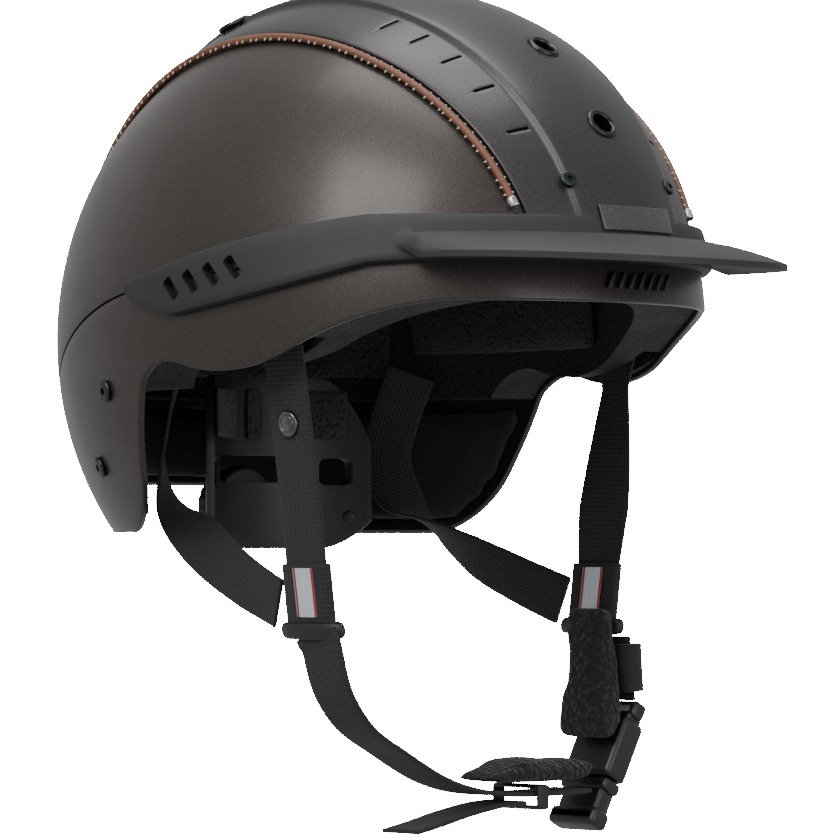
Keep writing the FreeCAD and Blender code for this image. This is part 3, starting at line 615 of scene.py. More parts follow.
def buildUpperShell():
    turns = [-math.pi / 2 + math.tau * i / 200 for i in range(200)]
    seams = [seamTilt(turn) for turn in turns]
    rows = []
    for i in range(upperShell["rows"]):
        share = i / (upperShell["rows"] - 1)
        rows.append([onMeridian(turn, low + 0.0025 + (math.pi / 2 - 0.004 - low) * share, 0)
                     for turn, low in zip(turns, seams)])
    piece = netPiece("upperShell", rows, closed=True, crown=True)
    outward(piece)
    finishWith(piece, "SOLIDIFY", thickness=upperShell["wall"], offset=-1)
    vents = []
    for x, y in eyeletSpots.values():
        place = overShell(x * mm, y * mm, 0)
        bpy.ops.mesh.primitive_cylinder_add(vertices=40, radius=4.3 * mm, depth=16 * mm)
        vents.append(standOn(newest("vent"), place, shellNormal(place)))
    cutWith(piece, vents)
    finishWith(piece, "BEVEL", width=0.9 * mm, segments=3, limit_method="ANGLE",
               angle_limit=math.radians(50))
    smooth(piece, 50)
    return dress(piece, finish["shell"], "helmet", "upper_shell")


def buildSeamStrip():
    # a dark lip inside the wall that closes the seam to light
    turns = [math.tau * i / 160 for i in range(160)]
    rows = []
    for step in (-0.022, 0, 0.022):
        rows.append([onMeridian(turn, seamTilt(turn) + step, -1.3 * mm) for turn in turns])
    piece = outward(netPiece("seamStrip", rows, closed=True))
    finishWith(piece, "SOLIDIFY", thickness=1.2 * mm, offset=-1)
    dress(smooth(piece, 50), finish["plastic"], "helmet", slot="shell_paint")


buildLowerShell()
buildUpperShell()
buildSeamStrip()
print("shells ready")


# crest panel, piping and its fittings
crest = {"panelRise": 1.9 * mm, "ridgeRise": 4.2 * mm, "shoulder": 3.2 * mm, "front": 31 * mm,
         "rear": 14 * mm, "along": 150}


def acrossCrest(bow, x):
    # the place on the shell at this bow (angle over the top from the front) and x
    share = math.sqrt(max(0.0, 1 - (x / shell["wide"]) ** 2))
    return Vector((x, -shell["long"] * share * math.cos(bow), shell["high"] * share * math.sin(bow)))


def crestHalf(bow, line):
    x = 30 * mm
    for _ in range(16):
        y = acrossCrest(bow, x).y / mm
        x = readLine(line, y) * mm
    return x


def buildCrest():
    start = math.asin(crest["front"] / shell["high"]) * 1.02
    stop = math.pi - math.asin(crest["rear"] / shell["high"]) * 1.02
    rows = []
    for i in range(crest["along"]):
        bow = start + (stop - start) * i / (crest["along"] - 1)
        panel = crestHalf(bow, panelLine)
        ridge = crestHalf(bow, ridgeLine)
        shoulder = crest["shoulder"]
        half = [(0, 1), (0.25 * ridge, 1), (0.5 * ridge, 1), (0.75 * ridge, 1), (0.9 * ridge, 1),
                (ridge - 0.5 * shoulder, 1), (ridge - 0.15 * shoulder, 0.95), (ridge, 0.75),
                (ridge + 0.25 * shoulder, 0.3), (ridge + 0.5 * shoulder, 0.05), (ridge + 0.75 * shoulder, 0),
                (0.6 * ridge + 0.4 * panel, 0), (0.3 * ridge + 0.7 * panel, 0), (panel - 1.2 * mm, 0),
                (panel - 0.3 * mm, -0.12), (panel, -0.5)]
        cross = [(-x, lift) for x, lift in half[:0:-1]] + half
        row = []
        for x, lift in cross:
            rise = crest["panelRise"] + lift * (crest["ridgeRise"] - crest["panelRise"])
            row.append(lifted(acrossCrest(bow, x), rise))
        rows.append(row)
    piece = netPiece("crestPanel", rows)
    outward(piece)
    if max(piece.data.polygons, key=lambda face: face.center.z).normal.z < 0:
        piece.data.flip_normals()
    finishWith(piece, "SOLIDIFY", thickness=1.5 * mm, offset=-1)
    cutWith(piece, crestCutters())
    finishWith(piece, "BEVEL", width=0.35 * mm, segments=2, limit_method="ANGLE",
               angle_limit=math.radians(48))
    smooth(piece, 40)
    return dress(piece, finish["panel"], "helmet", "crest_panel")


def crestCutters():
    tools = []
    for x, y in eyeletSpots.values():
        bpy.ops.mesh.primitive_cylinder_add(vertices=48, radius=6.4 * mm, depth=16 * mm)
        tools.append(newest("eyeletSeat"))
        standOn(tools[-1], overShell(x * mm, y * mm, 2 * mm), shellNormal(overShell(x * mm, y * mm, 0)))
    for y in [-52 - 15.5 * i for i in range(5)]:
        x = readLine(ridgeLine, y) + 7
        for side in (-1, 1):
            tools.append(slitCutter(side * x * mm, y * mm))
    return tools


def slitCutter(x, y):
    # a round-ended bar laid across the panel
    place = overShell(x, y, 1.5 * mm)
    out = shellNormal(place)
    lie = Vector((1, 0, 0)) - out * out.x
    lie.normalize()
    bpy.ops.mesh.primitive_cube_add(size=1)
    tool = newest("slit")
    tool.scale = (9.5 * mm, 1.5 * mm, 9 * mm)
    settle(tool)
    finishWith(tool, "BEVEL", width=0.7 * mm, segments=3, limit_method="ANGLE")
    turn = Matrix((lie, out.cross(lie), out)).transposed().to_4x4()
    tool.matrix_world = Matrix.Translation(place) @ turn
    return settle(tool)


buildCrest()


piping = {"radius": 1.5 * mm, "first": -123, "last": 122, "count": 150, "stitchGap": 4.2 * mm}


def pipingPath(side):
    path = []
    for i in range(piping["count"]):
        y = piping["first"] + (piping["last"] - piping["first"]) * i / (piping["count"] - 1)
        x = readLine(panelLine, y) + 2.2
        path.append(overShell(side * x * mm, y * mm, 1.75 * mm))
    return path


def tube(name, path, radius, sides=12):
    rows = []
    for i, place in enumerate(path):
        ahead = path[min(i + 1, len(path) - 1)] - path[max(i - 1, 0)]
        ahead.normalize()
        out = shellNormal(place)
        beside = ahead.cross(out).normalized()
        out = beside.cross(ahead)
        rows.append([place + beside * radius * math.cos(a) + out * radius * math.sin(a)
                     for a in [math.tau * k / sides for k in range(sides)]])
    piece = netPiece(name, rows, closed=True, wrap=True)
    return smooth(outward(piece), 60)


def stitchRow(name, path, gap, offset, length, radius):
    # little stitches along both sides of a cord, each lying a little across it
    pieces = []
    reach = 0.0
    following = 0.0
    for a, b in zip(path, path[1:]):
        reach += (b - a).length
        if reach < following:
            continue
        following += gap
        ahead = (b - a).normalized()
        out = shellNormal(a)
        beside = ahead.cross(out).normalized()
        for side in (-1, 1):
            bpy.ops.mesh.primitive_uv_sphere_add(segments=8, ring_count=5, radius=1)
            stitch = newest("stitch")
            lie = (beside * 0.94 + ahead * 0.34 * side - out * 0.55 * side).normalized()
            stitch.matrix_world = (Matrix.Translation(a + beside * offset * side + out * 0.55 * radius)
                                   @ turnOnto(lie).to_matrix().to_4x4()
                                   @ Matrix.Diagonal((radius, radius, length / 2, 1)))
            pieces.append(settle(stitch))
    return smooth(joined(pieces, name), 80)


def buildPiping(side, name):
    path = pipingPath(side)
    cord = tube("piping." + name, path, piping["radius"])
    dress(cord, finish["leather"], "helmet", "piping_" + name)
    stitches = stitchRow("pipingStitches." + name, path, piping["stitchGap"], 1.25 * mm, 2.3 * mm, 0.42 * mm)
    dress(stitches, finish["thread"], "helmet", slot="piping_leather")
    place = path[0]
    bpy.ops.mesh.primitive_cylinder_add(vertices=20, radius=2.1 * mm, depth=4.2 * mm)
    clip = newest("pipingClip." + name)
    finishWith(clip, "BEVEL", width=0.6 * mm, segments=3, limit_method="ANGLE")
    standOn(clip, place, path[1] - path[0])
    dress(smooth(clip), finish["clip"], "helmet", "piping_clip_" + name)


for side, name in ((-1, "right"), (1, "left")):
    buildPiping(side, name)
print("crest and piping ready")


def buildEyelet(name, spot):
    # a rolled ring with a stepped throat
    place = overShell(spot[0] * mm, spot[1] * mm, 3.9 * mm)
    bpy.ops.mesh.primitive_torus_add(major_segments=56, minor_segments=14, major_radius=5.6 * mm,
                                     minor_radius=1.25 * mm)
    ring = newest("eyeletRing")
    bpy.ops.mesh.primitive_cylinder_add(vertices=56, radius=4.7 * mm, depth=3.4 * mm, end_fill_type="NOTHING")
    throat = newest("eyeletThroat")
    throat.location.z = -1.6 * mm
    settle(throat)
    finishWith(throat, "SOLIDIFY", thickness=0.5 * mm, offset=-1)
    whole = joined([ring, throat], "eyelet." + name)
    standOn(whole, place, shellNormal(place))
    dress(smooth(whole, 50), finish["eyelet"], "helmet", "eyelet_" + name)


def screwHead(name, radius, height, recess):
    # a domed head with a six-sided key recess
    bpy.ops.mesh.primitive_cylinder_add(vertices=36, radius=radius, depth=height, location=(0, 0, height / 2))
    head = newest(name)
    settle(head)
    finishWith(head, "BEVEL", width=height * 0.4, segments=4, limit_method="ANGLE")
    bpy.ops.mesh.primitive_cylinder_add(vertices=6, radius=recess, depth=height, location=(0, 0, height))
    return smooth(cutWith(head, [settle(newest("key"))]), 40)


def buildFittings():
    for name, spot in eyeletSpots.items():
        buildEyelet(name, spot)
    for side, name in ((-1, "right"), (1, "left")):
        place = overShell(side * 26 * mm, -129.5 * mm, 3.4 * mm)
        head = standOn(screwHead("crestScrew." + name, 3.2 * mm, 1.8 * mm, 1.3 * mm), place,
                       shellNormal(place))
        dress(head, finish["screw"], "helmet", "crest_screw_" + name)
        for i, (y, z) in enumerate([(40, -23), (58, -52)]):
            place = besideShell(y * mm, z * mm, 0.1 * mm, side)
            head = screwHead("shellScrew.%s.%d" % (name, i + 1), 4.2 * mm, 1.7 * mm, 1.5 * mm)
            dress(standOn(head, place, shellNormal(place)), finish["screw"], "helmet",
                  "shell_screw_%s_%d" % (name, i + 1))


buildFittings()


# peak with its side bands
peak = {"rise": 4.3 * mm, "front": -192 * mm, "halfWidth": 86 * mm, "middle": -94 * mm, "sideColumns": 54,
        "frontColumns": 70}
bandTop = edgeRun([(-145, 39.5), (-85, 39.5, 1.7), (15, 19), (20, 15.8)])
bandBottom = edgeRun([(-145, 22.5), (-109, 22.5), (-88, 21, -1.6), (-7, 4), (17, 11.5), (20, 15.2)])


def peakSection(turn, reach, lip):
    # one cut through the band and the peak, from the band's top edge round to its lower edge
    onBand = []
    for line in (bandTop, bandBottom):
        tilt = 0.15
        for _ in range(24):
            y = shell["long"] * math.cos(tilt) * math.sin(turn) / mm
            tilt = 0.5 * tilt + 0.5 * math.asin(readLine(line, y) * mm / shell["high"])
        onBand.append(tilt)
    top, bottom = onBand
    rise = peak["rise"]
    span = top - bottom
    section = [onMeridian(turn, top, 0.3 * mm), onMeridian(turn, top, rise * 0.55),
               onMeridian(turn, top - 0.05 * span, rise * 0.9), onMeridian(turn, top - 0.12 * span, rise)]
    rootTop = onMeridian(turn, top - 0.42 * span, rise)
    rootLow = onMeridian(turn, bottom + 0.16 * span, rise)
    section.append(onMeridian(turn, top - 0.27 * span, rise))
    over = []
    for share in (0.0, 0.08, 0.2, 0.4, 0.6, 0.8, 0.93):
        onShell = rootTop.lerp(rootLow, 0.45 * share)
        away = onShell.lerp(lip + Vector((0, 0, 1.3 * mm)), share)
        away.z = rootTop.z + (lip.z + 1.3 * mm - rootTop.z) * share ** 1.5
        over.append(onShell.lerp(away, reach))
    under = []
    for share in (1.0, 0.93, 0.75, 0.5, 0.25, 0.06, 0.0):
        onShell = rootLow.lerp(rootTop, 0.45 * share)
        away = onShell.lerp(lip - Vector((0, 0, 1.3 * mm)), share)
        away.z = rootLow.z + (lip.z - 1.3 * mm - rootLow.z) * share ** 1.5
        under.append(onShell.lerp(away, reach))
    section += over
    section.append(rootTop.lerp(rootLow, 0.45).lerp(lip + Vector((0, 0, 1.1 * mm)), reach))
    section.append(rootTop.lerp(rootLow, 0.5).lerp(lip, reach))
    section += under
    section += [onMeridian(turn, bottom + 0.08 * span, rise), onMeridian(turn, bottom + 0.03 * span,
                                                                         rise * 0.9),
                onMeridian(turn, bottom, rise * 0.5), onMeridian(turn, bottom, 0.3 * mm)]
    return section


def buildPeak():
    rows = []
    rear = math.asin(20 / 145)
    side = math.asin(-94 / 145) - 0.02
    stations = []
    for i in range(peak["sideColumns"]):
        turn = rear + (side - rear) * i / peak["sideColumns"]
        stations.append((turn, 0.0, Vector((0, 0, 0))))
    for i in range(peak["frontColumns"] + 1):
        share = i / peak["frontColumns"]
        swing = math.radians(90) * (1 - share)
        turn = side + (-math.pi / 2 - side) * share
        lip = Vector((peak["halfWidth"] * math.sin(swing),
                      peak["middle"] + (peak["front"] - peak["middle"]) * math.cos(swing),
                      (24.5 - 3.5 * math.cos(swing) ** 2) * mm))
        stations.append((turn, min(1.0, share * 9) ** 1.5, lip))
    for turn, reach, lip in stations:
        rows.append(peakSection(turn, reach, lip))
    mirror = [[Vector((-p.x, p.y, p.z)) for p in row] for row in rows[-2::-1]]
    piece = netPiece("peak", rows + mirror, closed=True, wrap=True)
    outward(piece)
    tools = [bandSlot(-8.5 - 9.8 * i, 14.2 + 2.3 * i, side) for i in range(4) for side in (-1, 1)]
    cutWith(piece, tools)
    smooth(piece, 38)
    return dress(piece, finish["softTouch"], "helmet", "peak")


def bandSlot(y, z, side):
    # a slanted round-ended slot through the band
    place = besideShell(y * mm, z * mm, 3 * mm, side)
    bpy.ops.mesh.primitive_cube_add(size=1)
    tool = newest("slot")
    tool.scale = (9 * mm, 4.3 * mm, 9.8 * mm)
    settle(tool)
    finishWith(tool, "BEVEL", width=1.1 * mm, segments=4, limit_method="ANGLE", affect="EDGES")
    tool.matrix_world = Matrix.Translation(place) @ Matrix.Rotation(math.radians(-42), 4, "X")
    return settle(tool)


buildPeak()


def buildBadgeAndGrille():
    rows = []
    for i in range(12):
        z = (33.4 + 9.2 * i / 11) * mm
        rows.append([lifted(Vector((x, -shell["long"] * math.sqrt(1 - (x / shell["wide"]) ** 2
                     - (z / shell["high"]) ** 2), z)), 5.4 * mm) for x in
                     [(-17.5 + 35 * k / 24) * mm for k in range(25)]])
    plate = netPiece("badgePlate", rows)
    if plate.data.polygons[0].normal.y > 0:
        plate.data.flip_normals()
    finishWith(plate, "SOLIDIFY", thickness=0.9 * mm, offset=-1)
    finishWith(plate, "BEVEL", width=0.35 * mm, segments=3, limit_method="ANGLE")
    dress(smooth(plate, 40), finish["badge"], "helmet", "badge_plate")
    ribs = []
    for i in range(7):
        x = (-15 + 5 * i) * mm
        z = 16.2 * mm
        y = -shell["long"] * math.sqrt(1 - (x / shell["wide"]) ** 2 - (z / shell["high"]) ** 2)
        place = Vector((x, y - 1 * mm, z))
        bpy.ops.mesh.primitive_cube_add(size=1, location=place)
        rib = newest("rib")
        rib.scale = (1.7 * mm, 1.6 * mm, 6.8 * mm)
        rib.rotation_euler = (0, math.radians(24), math.asin(x / shell["wide"]) * 0.9)
        settle(rib)
        ribs.append(finishWith(rib, "BEVEL", width=0.5 * mm, segments=3, limit_method="ANGLE"))
    grille = joined(ribs, "ventGrille")
    dress(smooth(grille), finish["plastic"], "helmet", "vent_grille")


buildBadgeAndGrille()
print("peak and fittings ready")


# padded pieces: foam shapes swollen by a short cloth run
padding = {"voxel": 4.5 * mm, "pressure": 4.0, "frames": 20}


def swollen(node, name, cap, shrink=0.6 * mm, voxel=None):
    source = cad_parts[node]
    piece = source.copy()
    piece.data = source.data.copy()
    bpy.context.collection.objects.link(piece)
    piece.parent = None
    piece.matrix_world = Matrix.Identity(4)
    piece.modifiers.clear()
    choose(piece)
    piece.name = name
    piece.hide_render = False
    piece.hide_viewport = False
    outward(piece)
    finishWith(piece, "REMESH", mode="VOXEL", voxel_size=voxel or padding["voxel"])
    finishWith(piece, "DISPLACE", strength=-shrink, mid_level=0.0)
    finishWith(piece, "SMOOTH", factor=0.5, iterations=4)
    before = [vertex.co.copy() for vertex in piece.data.vertices]
    cloth = piece.modifiers.new("Cloth", "CLOTH")
    cloth.settings.use_pressure = True
    cloth.settings.uniform_pressure_force = padding["pressure"]
    cloth.settings.effector_weights.gravity = 0
    cloth.point_cache.frame_start = 1
    cloth.point_cache.frame_end = padding["frames"]
    for number in range(1, padding["frames"] + 1):
        bpy.context.scene.frame_set(number)
    choose(piece)
    bpy.ops.object.modifier_apply(modifier="Cloth")
    for vertex, old in zip(piece.data.vertices, before):
        move = vertex.co - old
        if move.length > cap:
            vertex.co = old + move.normalized() * cap
    bpy.context.scene.frame_set(1)
    finishWith(piece, "SMOOTH", factor=0.5, iterations=3)
    finishWith(piece, "SUBSURF", levels=1, render_levels=1)
    smooth(piece, 80)
    return piece


def flare(piece):
    # the jaw pad is narrow at its rounded top, has a waist and spreads toward the chin
    low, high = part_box("jaw_pad")
    middle = (low.y + high.y) / 2
    for vertex in piece.data.vertices:
        share = (high.z - vertex.co.z) / (high.z - low.z)
        wide = 0.62 + 0.3 * math.sin(min(share, 0.35) / 0.35 * math.pi) * 0.4 + 0.42 * max(0.0, share - 0.3)
        vertex.co.y = middle + (vertex.co.y - middle) * wide


def wedge(piece):
    # the chin pad thickens toward the buckle
    low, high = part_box("chin_pad")
    for vertex in piece.data.vertices:
        share = (vertex.co.x - low.x) / (high.x - low.x)
        above = max(0.0, (vertex.co.z - low.z) / (high.z - low.z))
        vertex.co.z += 5 * mm * share * above


def buildPads():
    plan = [("brow_pad", "knit", "helmet"), ("side_pad_right", "mesh", "helmet"),
            ("side_pad_left", "mesh", "helmet"), ("rear_pad", "mesh", "helmet"),
            ("crown_pad", "knit", "helmet"), ("neck_liner", "knit", "helmet"),
            ("cradle_pad", "mesh", "cradle"), ("chin_pad", "fleece", "harness"),
            ("jaw_pad", "fleece", "harness")]
    for node, look, body in plan:
        words = node.split("_")
        name = words[0] + "".join(word.title() for word in words[1:])
        piece = swollen(node, name, 1.6 * mm, voxel=3 * mm if look == "fleece" else None)
        if node == "jaw_pad":
            flare(piece)
        if node == "chin_pad":
            wedge(piece)
        dress(piece, finish[look], body, node)


buildPads()
print("pads ready")


# harness webbing
harness = {"width": 22 * mm, "thick": 1.8 * mm, "rear": 20 * mm, "tab": 25 * mm, "tabThick": 4.2 * mm,
           "tape": 11 * mm, "tapeThick": 0.5 * mm, "tapeApart": 4.9 * mm}


def ribbon(name, places, across, width, thick, count=60):
    # flat webbing laid along a smooth route; `across` gives its width direction at each place
    path = curvePoints(places, count)
    lie = curvePoints(across, count)
    rows = []
    for i, place in enumerate(path):
        ahead = (path[min(i + 1, count - 1)] - path[max(i - 1, 0)]).normalized()
        beside = (lie[i] - ahead * lie[i].dot(ahead)).normalized()
        face = ahead.cross(beside)
        row = []
        half = width / 2
        edge = thick / 2
        for u, v in ((-1, 0), (-0.97, 0.7), (-0.9, 1), (-0.45, 0.96), (0, 0.94), (0.45, 0.96), (0.9, 1),
                     (0.97, 0.7), (1, 0), (0.97, -0.7), (0.9, -1), (0.45, -0.96), (0, -0.94),
                     (-0.45, -0.96), (-0.9, -1), (-0.97, -0.7)):
            row.append(place + beside * half * u + face * edge * v)
        rows.append(row)
    piece = netPiece(name, rows, closed=True, wrap=True)
    for spot in piece.data.uv_layers[0].data:
        spot.uv.x = min(spot.uv.x, 2 * (width + thick * 0.6) - spot.uv.x)
    return smooth(piece, 60)


def mmPlaces(*places):
    return [Vector(place) * mm for place in places]


def buildStraps():
    for side, name in ((-1, "right"), (1, "left")):
        twist = 0.35 if side > 0 else 0.0
        places = mmPlaces((side * 93.2, -45.5, 4), (side * 91.2, -45.5, -10), (side * 88.2, -45.8, -30),
                          (side * 84.6, -46, -55), (side * 81.5, -46, -75), (side * 79.6, -46, -92))
        lie = [Vector((0.0, 1, 0)), Vector((side * twist * 0.3, 1, 0)), Vector((side * twist, 1, 0)),
               Vector((0.0, 1, 0)), Vector((-side * twist, 1, 0)), Vector((0.0, 1, 0))]
        piece = ribbon("frontStrap." + name, places, lie, harness["width"], harness["thick"])
        dress(piece, finish["web"], "harness", "front_strap_" + name)
        places = mmPlaces((side * 63, 45, -12), (side * 61.5, 55, -34), (side * 61.5, 58, -50),
                          (side * 64, 48, -67), (side * 69.5, 22, -84), (side * 74.5, -4, -96),
                          (side * 77.6, -28, -105))
        lie = mmPlaces((-side * 7, 7, 0), (-side * 7, 7, 0), (-side * 6.6, 7.5, 2), (-side * 5, 6, 6),
                       (-side * 2, 4.4, 8.6), (0, 3.4, 9.4), (0, 3, 9.6))
        piece = ribbon("rearStrap." + name, places, lie, harness["rear"], harness["thick"])
        piece.data.materials.append(finish["web"])
        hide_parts("rear_strap_" + name)
        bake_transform(piece)


buildStraps()


def buildTabs():
    for side, name in ((-1, "right"), (1, "left")):
        places = mmPlaces((side * 79.4, -45.5, -90), (side * 77.6, -45.5, -104), (side * 75.6, -45.5, -118.3))
        piece = ribbon("dividerTab." + name, places, mmPlaces((0, 1, 0), (0, 1, 0), (0, 1, 0)),
                       harness["tab"], harness["tabThick"], 20)
        dress(piece, finish["web"], "harness", "divider_tab_" + name)
        places = mmPlaces((side * 81.6, -45.5, -91.5), (side * 80.2, -45.5, -101), (side * 78.9, -45.5, -110))
        lie = mmPlaces((0, 1, 0), (0, 1, 0), (0, 1, 0))
        outer = ribbon("tape." + name, places, lie, harness["tape"], harness["tapeThick"], 20)
        within = [place - Vector((side * harness["tapeApart"], 0, 0)) for place in places]
        inner = ribbon("tapeInside." + name, within, lie, harness["tape"], harness["tapeThick"], 20)
        dress(joined([outer, inner], "tape." + name), finish["tape"], "harness", "tape_" + name)
        bpy.ops.mesh.primitive_torus_add(major_segments=64, minor_segments=16, major_radius=12 * mm,
                                         minor_radius=1.8 * mm)
        ring = newest("dividerRing." + name)
        bpy.ops.object.mode_set(mode="EDIT")
        bpy.ops.mesh.select_all(action="SELECT")
        bpy.ops.transform.resize(value=(0.36, 1.24, 1.7))
        bpy.ops.object.mode_set(mode="OBJECT")
        ring.rotation_euler = (0, math.radians(8.6) * side, 0)
        ring.location = (side * 76 * mm, -45.8 * mm, -115 * mm)
        dress(smooth(settle(ring), 60), finish["plastic"], "harness", "divider_ring_" + name)
        place = Vector((side * 88.6 * mm, -45.5 * mm, -37 * mm))
        bpy.ops.mesh.primitive_cylinder_add(vertices=48, radius=5.1 * mm, depth=2.2 * mm)
        button = newest("strapRivet." + name)
        finishWith(button, "BEVEL", width=1.0 * mm, segments=5, limit_method="ANGLE")
        bpy.ops.mesh.primitive_torus_add(major_segments=48, minor_segments=10, major_radius=3.3 * mm,
                                         minor_radius=0.35 * mm, location=(0, 0, 1.1 * mm))
        groove = settle(newest("rivetRing"))
        button = joined([button, groove], "strapRivet." + name)
        standOn(button, place, (side, 0, -0.15))
        dress(smooth(button), finish["rivet"], "harness", "strap_rivet_" + name)


buildTabs()


def buildChin():
    up = Vector((0, 1, 0))
    places = mmPlaces((-77.4, -48, -113.6), (-77.6, -52, -121), (-73.6, -54, -138), (-62, -54, -152),
                      (-44.5, -54, -162),
                      (-25.5, -54, -171.5), (-10, -54, -176.5), (6, -54, -179), (27, -54, -180),
                      (56, -54, -179.5))
    piece = ribbon("chinStrap", places, [up] * len(places), harness["width"], 1.9 * mm, 90)
    piece.data.materials.append(finish["web"])
    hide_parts("chin_strap")
    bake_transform(piece)
    places = mmPlaces((20, -54, -183.1), (8, -54, -183.7), (-10, -54, -186.5), (-27, -54, -190.2),
                      (-38, -54, -192.2))
    piece = ribbon("chinStrapTail", places, [up] * len(places), 21 * mm, 1.8 * mm, 40)
    dress(piece, finish["web"], "harness", "chin_strap_tail")
    places = mmPlaces((78.1, -54, -119), (79.4, -54, -130), (81.1, -54, -144.5))
    piece = ribbon("dropStrap", places, [up] * 3, 21 * mm, 2 * mm, 24)
    dress(piece, finish["web"], "harness", "drop_strap")


buildChin()


# nape cradle and its dial
cradle = {"back": 50 * mm, "wall": 3 * mm, "columns": 48, "rows": 14, "rivet": 2.6 * mm}


def softBlock(name, low, high, soft, segments=4):
    # a block between two corners with rounded edges
    low, high = Vector(low), Vector(high)
    bpy.ops.mesh.primitive_cube_add(size=1, location=(low + high) / 2)
    block = newest(name)
    block.scale = high - low
    settle(block)
    return finishWith(block, "BEVEL", width=soft, segments=segments, limit_method="ANGLE")


def buildCradle():
    low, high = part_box("nape_cradle")
    deep = high.y
    wide = high.x / math.sqrt(1 - (cradle["back"] / deep) ** 2)
    most = math.acos(cradle["back"] / deep)
    rows = []
    for i in range(cradle["rows"]):
        rise = i / (cradle["rows"] - 1)
        row = []
        for j in range(cradle["columns"]):
            swing = most * (2 * j / (cradle["columns"] - 1) - 1)
            bow = 1 - 0.55 * max(0.0, abs(swing) / most - 0.6) ** 2 / 0.16
            z = low.z + (high.z - low.z) * (0.3 + (rise - 0.3) * bow)
            row.append(Vector((wide * math.sin(swing), deep * math.cos(swing), z)))
        rows.append(row)
    band = outward(netPiece("napeCradle", rows))
    if band.data.polygons[0].normal.y < 0:
        band.data.flip_normals()
    finishWith(band, "SOLIDIFY", thickness=cradle["wall"], offset=-1)
    slot = softBlock("cradleSlot", (-24 * mm, cradle["back"], -57 * mm), (24 * mm, 0.16, -46 * mm), 3 * mm)
    cutters = [slot]
    for side in (-1, 1):
        cutters.append(softBlock("cradleWindow", (side * 33 * mm - 5 * mm, cradle["back"] - 0.01, -58 * mm),
                                 (side * 33 * mm + 5 * mm, 0.16, -47 * mm), 2.5 * mm))
    cutWith(band, cutters)
    finishWith(band, "BEVEL", width=0.9 * mm, segments=3, limit_method="ANGLE", angle_limit=math.radians(50))
    parts = [band]
    for side in (-1, 1):
        swing = side * most * 0.84
        out = Vector((math.sin(swing) / wide, math.cos(swing) / deep, 0)).normalized()
        place = Vector((wide * math.sin(swing), deep * math.cos(swing), low.z + 13 * mm))
        for rise in (0.1 * mm, -cradle["wall"] - 0.1 * mm):
            bpy.ops.mesh.primitive_uv_sphere_add(segments=24, ring_count=12, radius=cradle["rivet"])
            dome = newest("cradleRivet")
            dome.scale.z = 0.3
            parts.append(standOn(settle(dome), place + out * rise, out))
    dress(smooth(joined(parts, "napeCradle"), 45), finish["plastic"], "cradle", "nape_cradle")


def buildDial():
    low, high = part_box("dial_housing")
    centre = (low + high) / 2
    bpy.ops.mesh.primitive_cylinder_add(vertices=64, radius=(high.x - low.x) / 2, depth=high.y - low.y)
    housing = newest("dialHousing")
    finishWith(housing, "BEVEL", width=2.2 * mm, segments=5, limit_method="ANGLE")
    dress(smooth(standOn(housing, centre, (0, 1, 0)), 40), finish["plastic"], "cradle", "dial_housing")
    lowKnob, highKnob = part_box("dial_knob")
    radius = (highKnob.x - lowKnob.x) / 2
    back = highKnob.y
    front = high.y + 0.3 * mm
    rows = []
    for share, size in ((0, 0.9), (0.06, 0.97), (0.18, 1), (0.8, 1), (0.93, 0.95), (1, 0.86), (1, 0.5),
                        (0.86, 0.42)):
        ring = []
        for k in range(144):
            turn = math.tau * k / 144
            flute = 1 - 0.035 * (0.5 + 0.5 * math.cos(18 * turn)) * (size > 0.9)
            ring.append(Vector((radius * size * flute * math.cos(turn), front + (back - front) * share,
                                centre.z + radius * size * flute * math.sin(turn))))
        rows.append(ring)
    knob = outward(netPiece("dialKnob", rows, closed=True, wrap=True))
    dress(smooth(knob, 40), finish["rubber"], "dial", "dial_knob")


buildCradle()
buildDial()


# side-release buckle, strap keeper and pad sleeve
buckle = {"lean": math.radians(28.5), "buttonOut": 5.9 * mm, "buttonUp": 31 * mm, "half": 12.5 * mm}
lowButton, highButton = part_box("buckle_button")
leanOver = Matrix.Rotation(buckle["lean"], 4, "Y")
buckleFoot = (lowButton + highButton) / 2 - leanOver @ Vector((buckle["buttonOut"], 0, buckle["buttonUp"]))


def onBuckle(parts, name):
    piece = joined(parts, name)
    piece.matrix_world = Matrix.Translation(buckleFoot) @ leanOver @ piece.matrix_world
    return smooth(settle(piece), 42)


def block(name, x, y, z, soft):
    # a rounded block in the buckle's own axes, centred across, from ranges in millimetres
    return softBlock(name, (x[0] * mm, -y * mm, z[0] * mm), (x[1] * mm, y * mm, z[1] * mm), soft * mm)


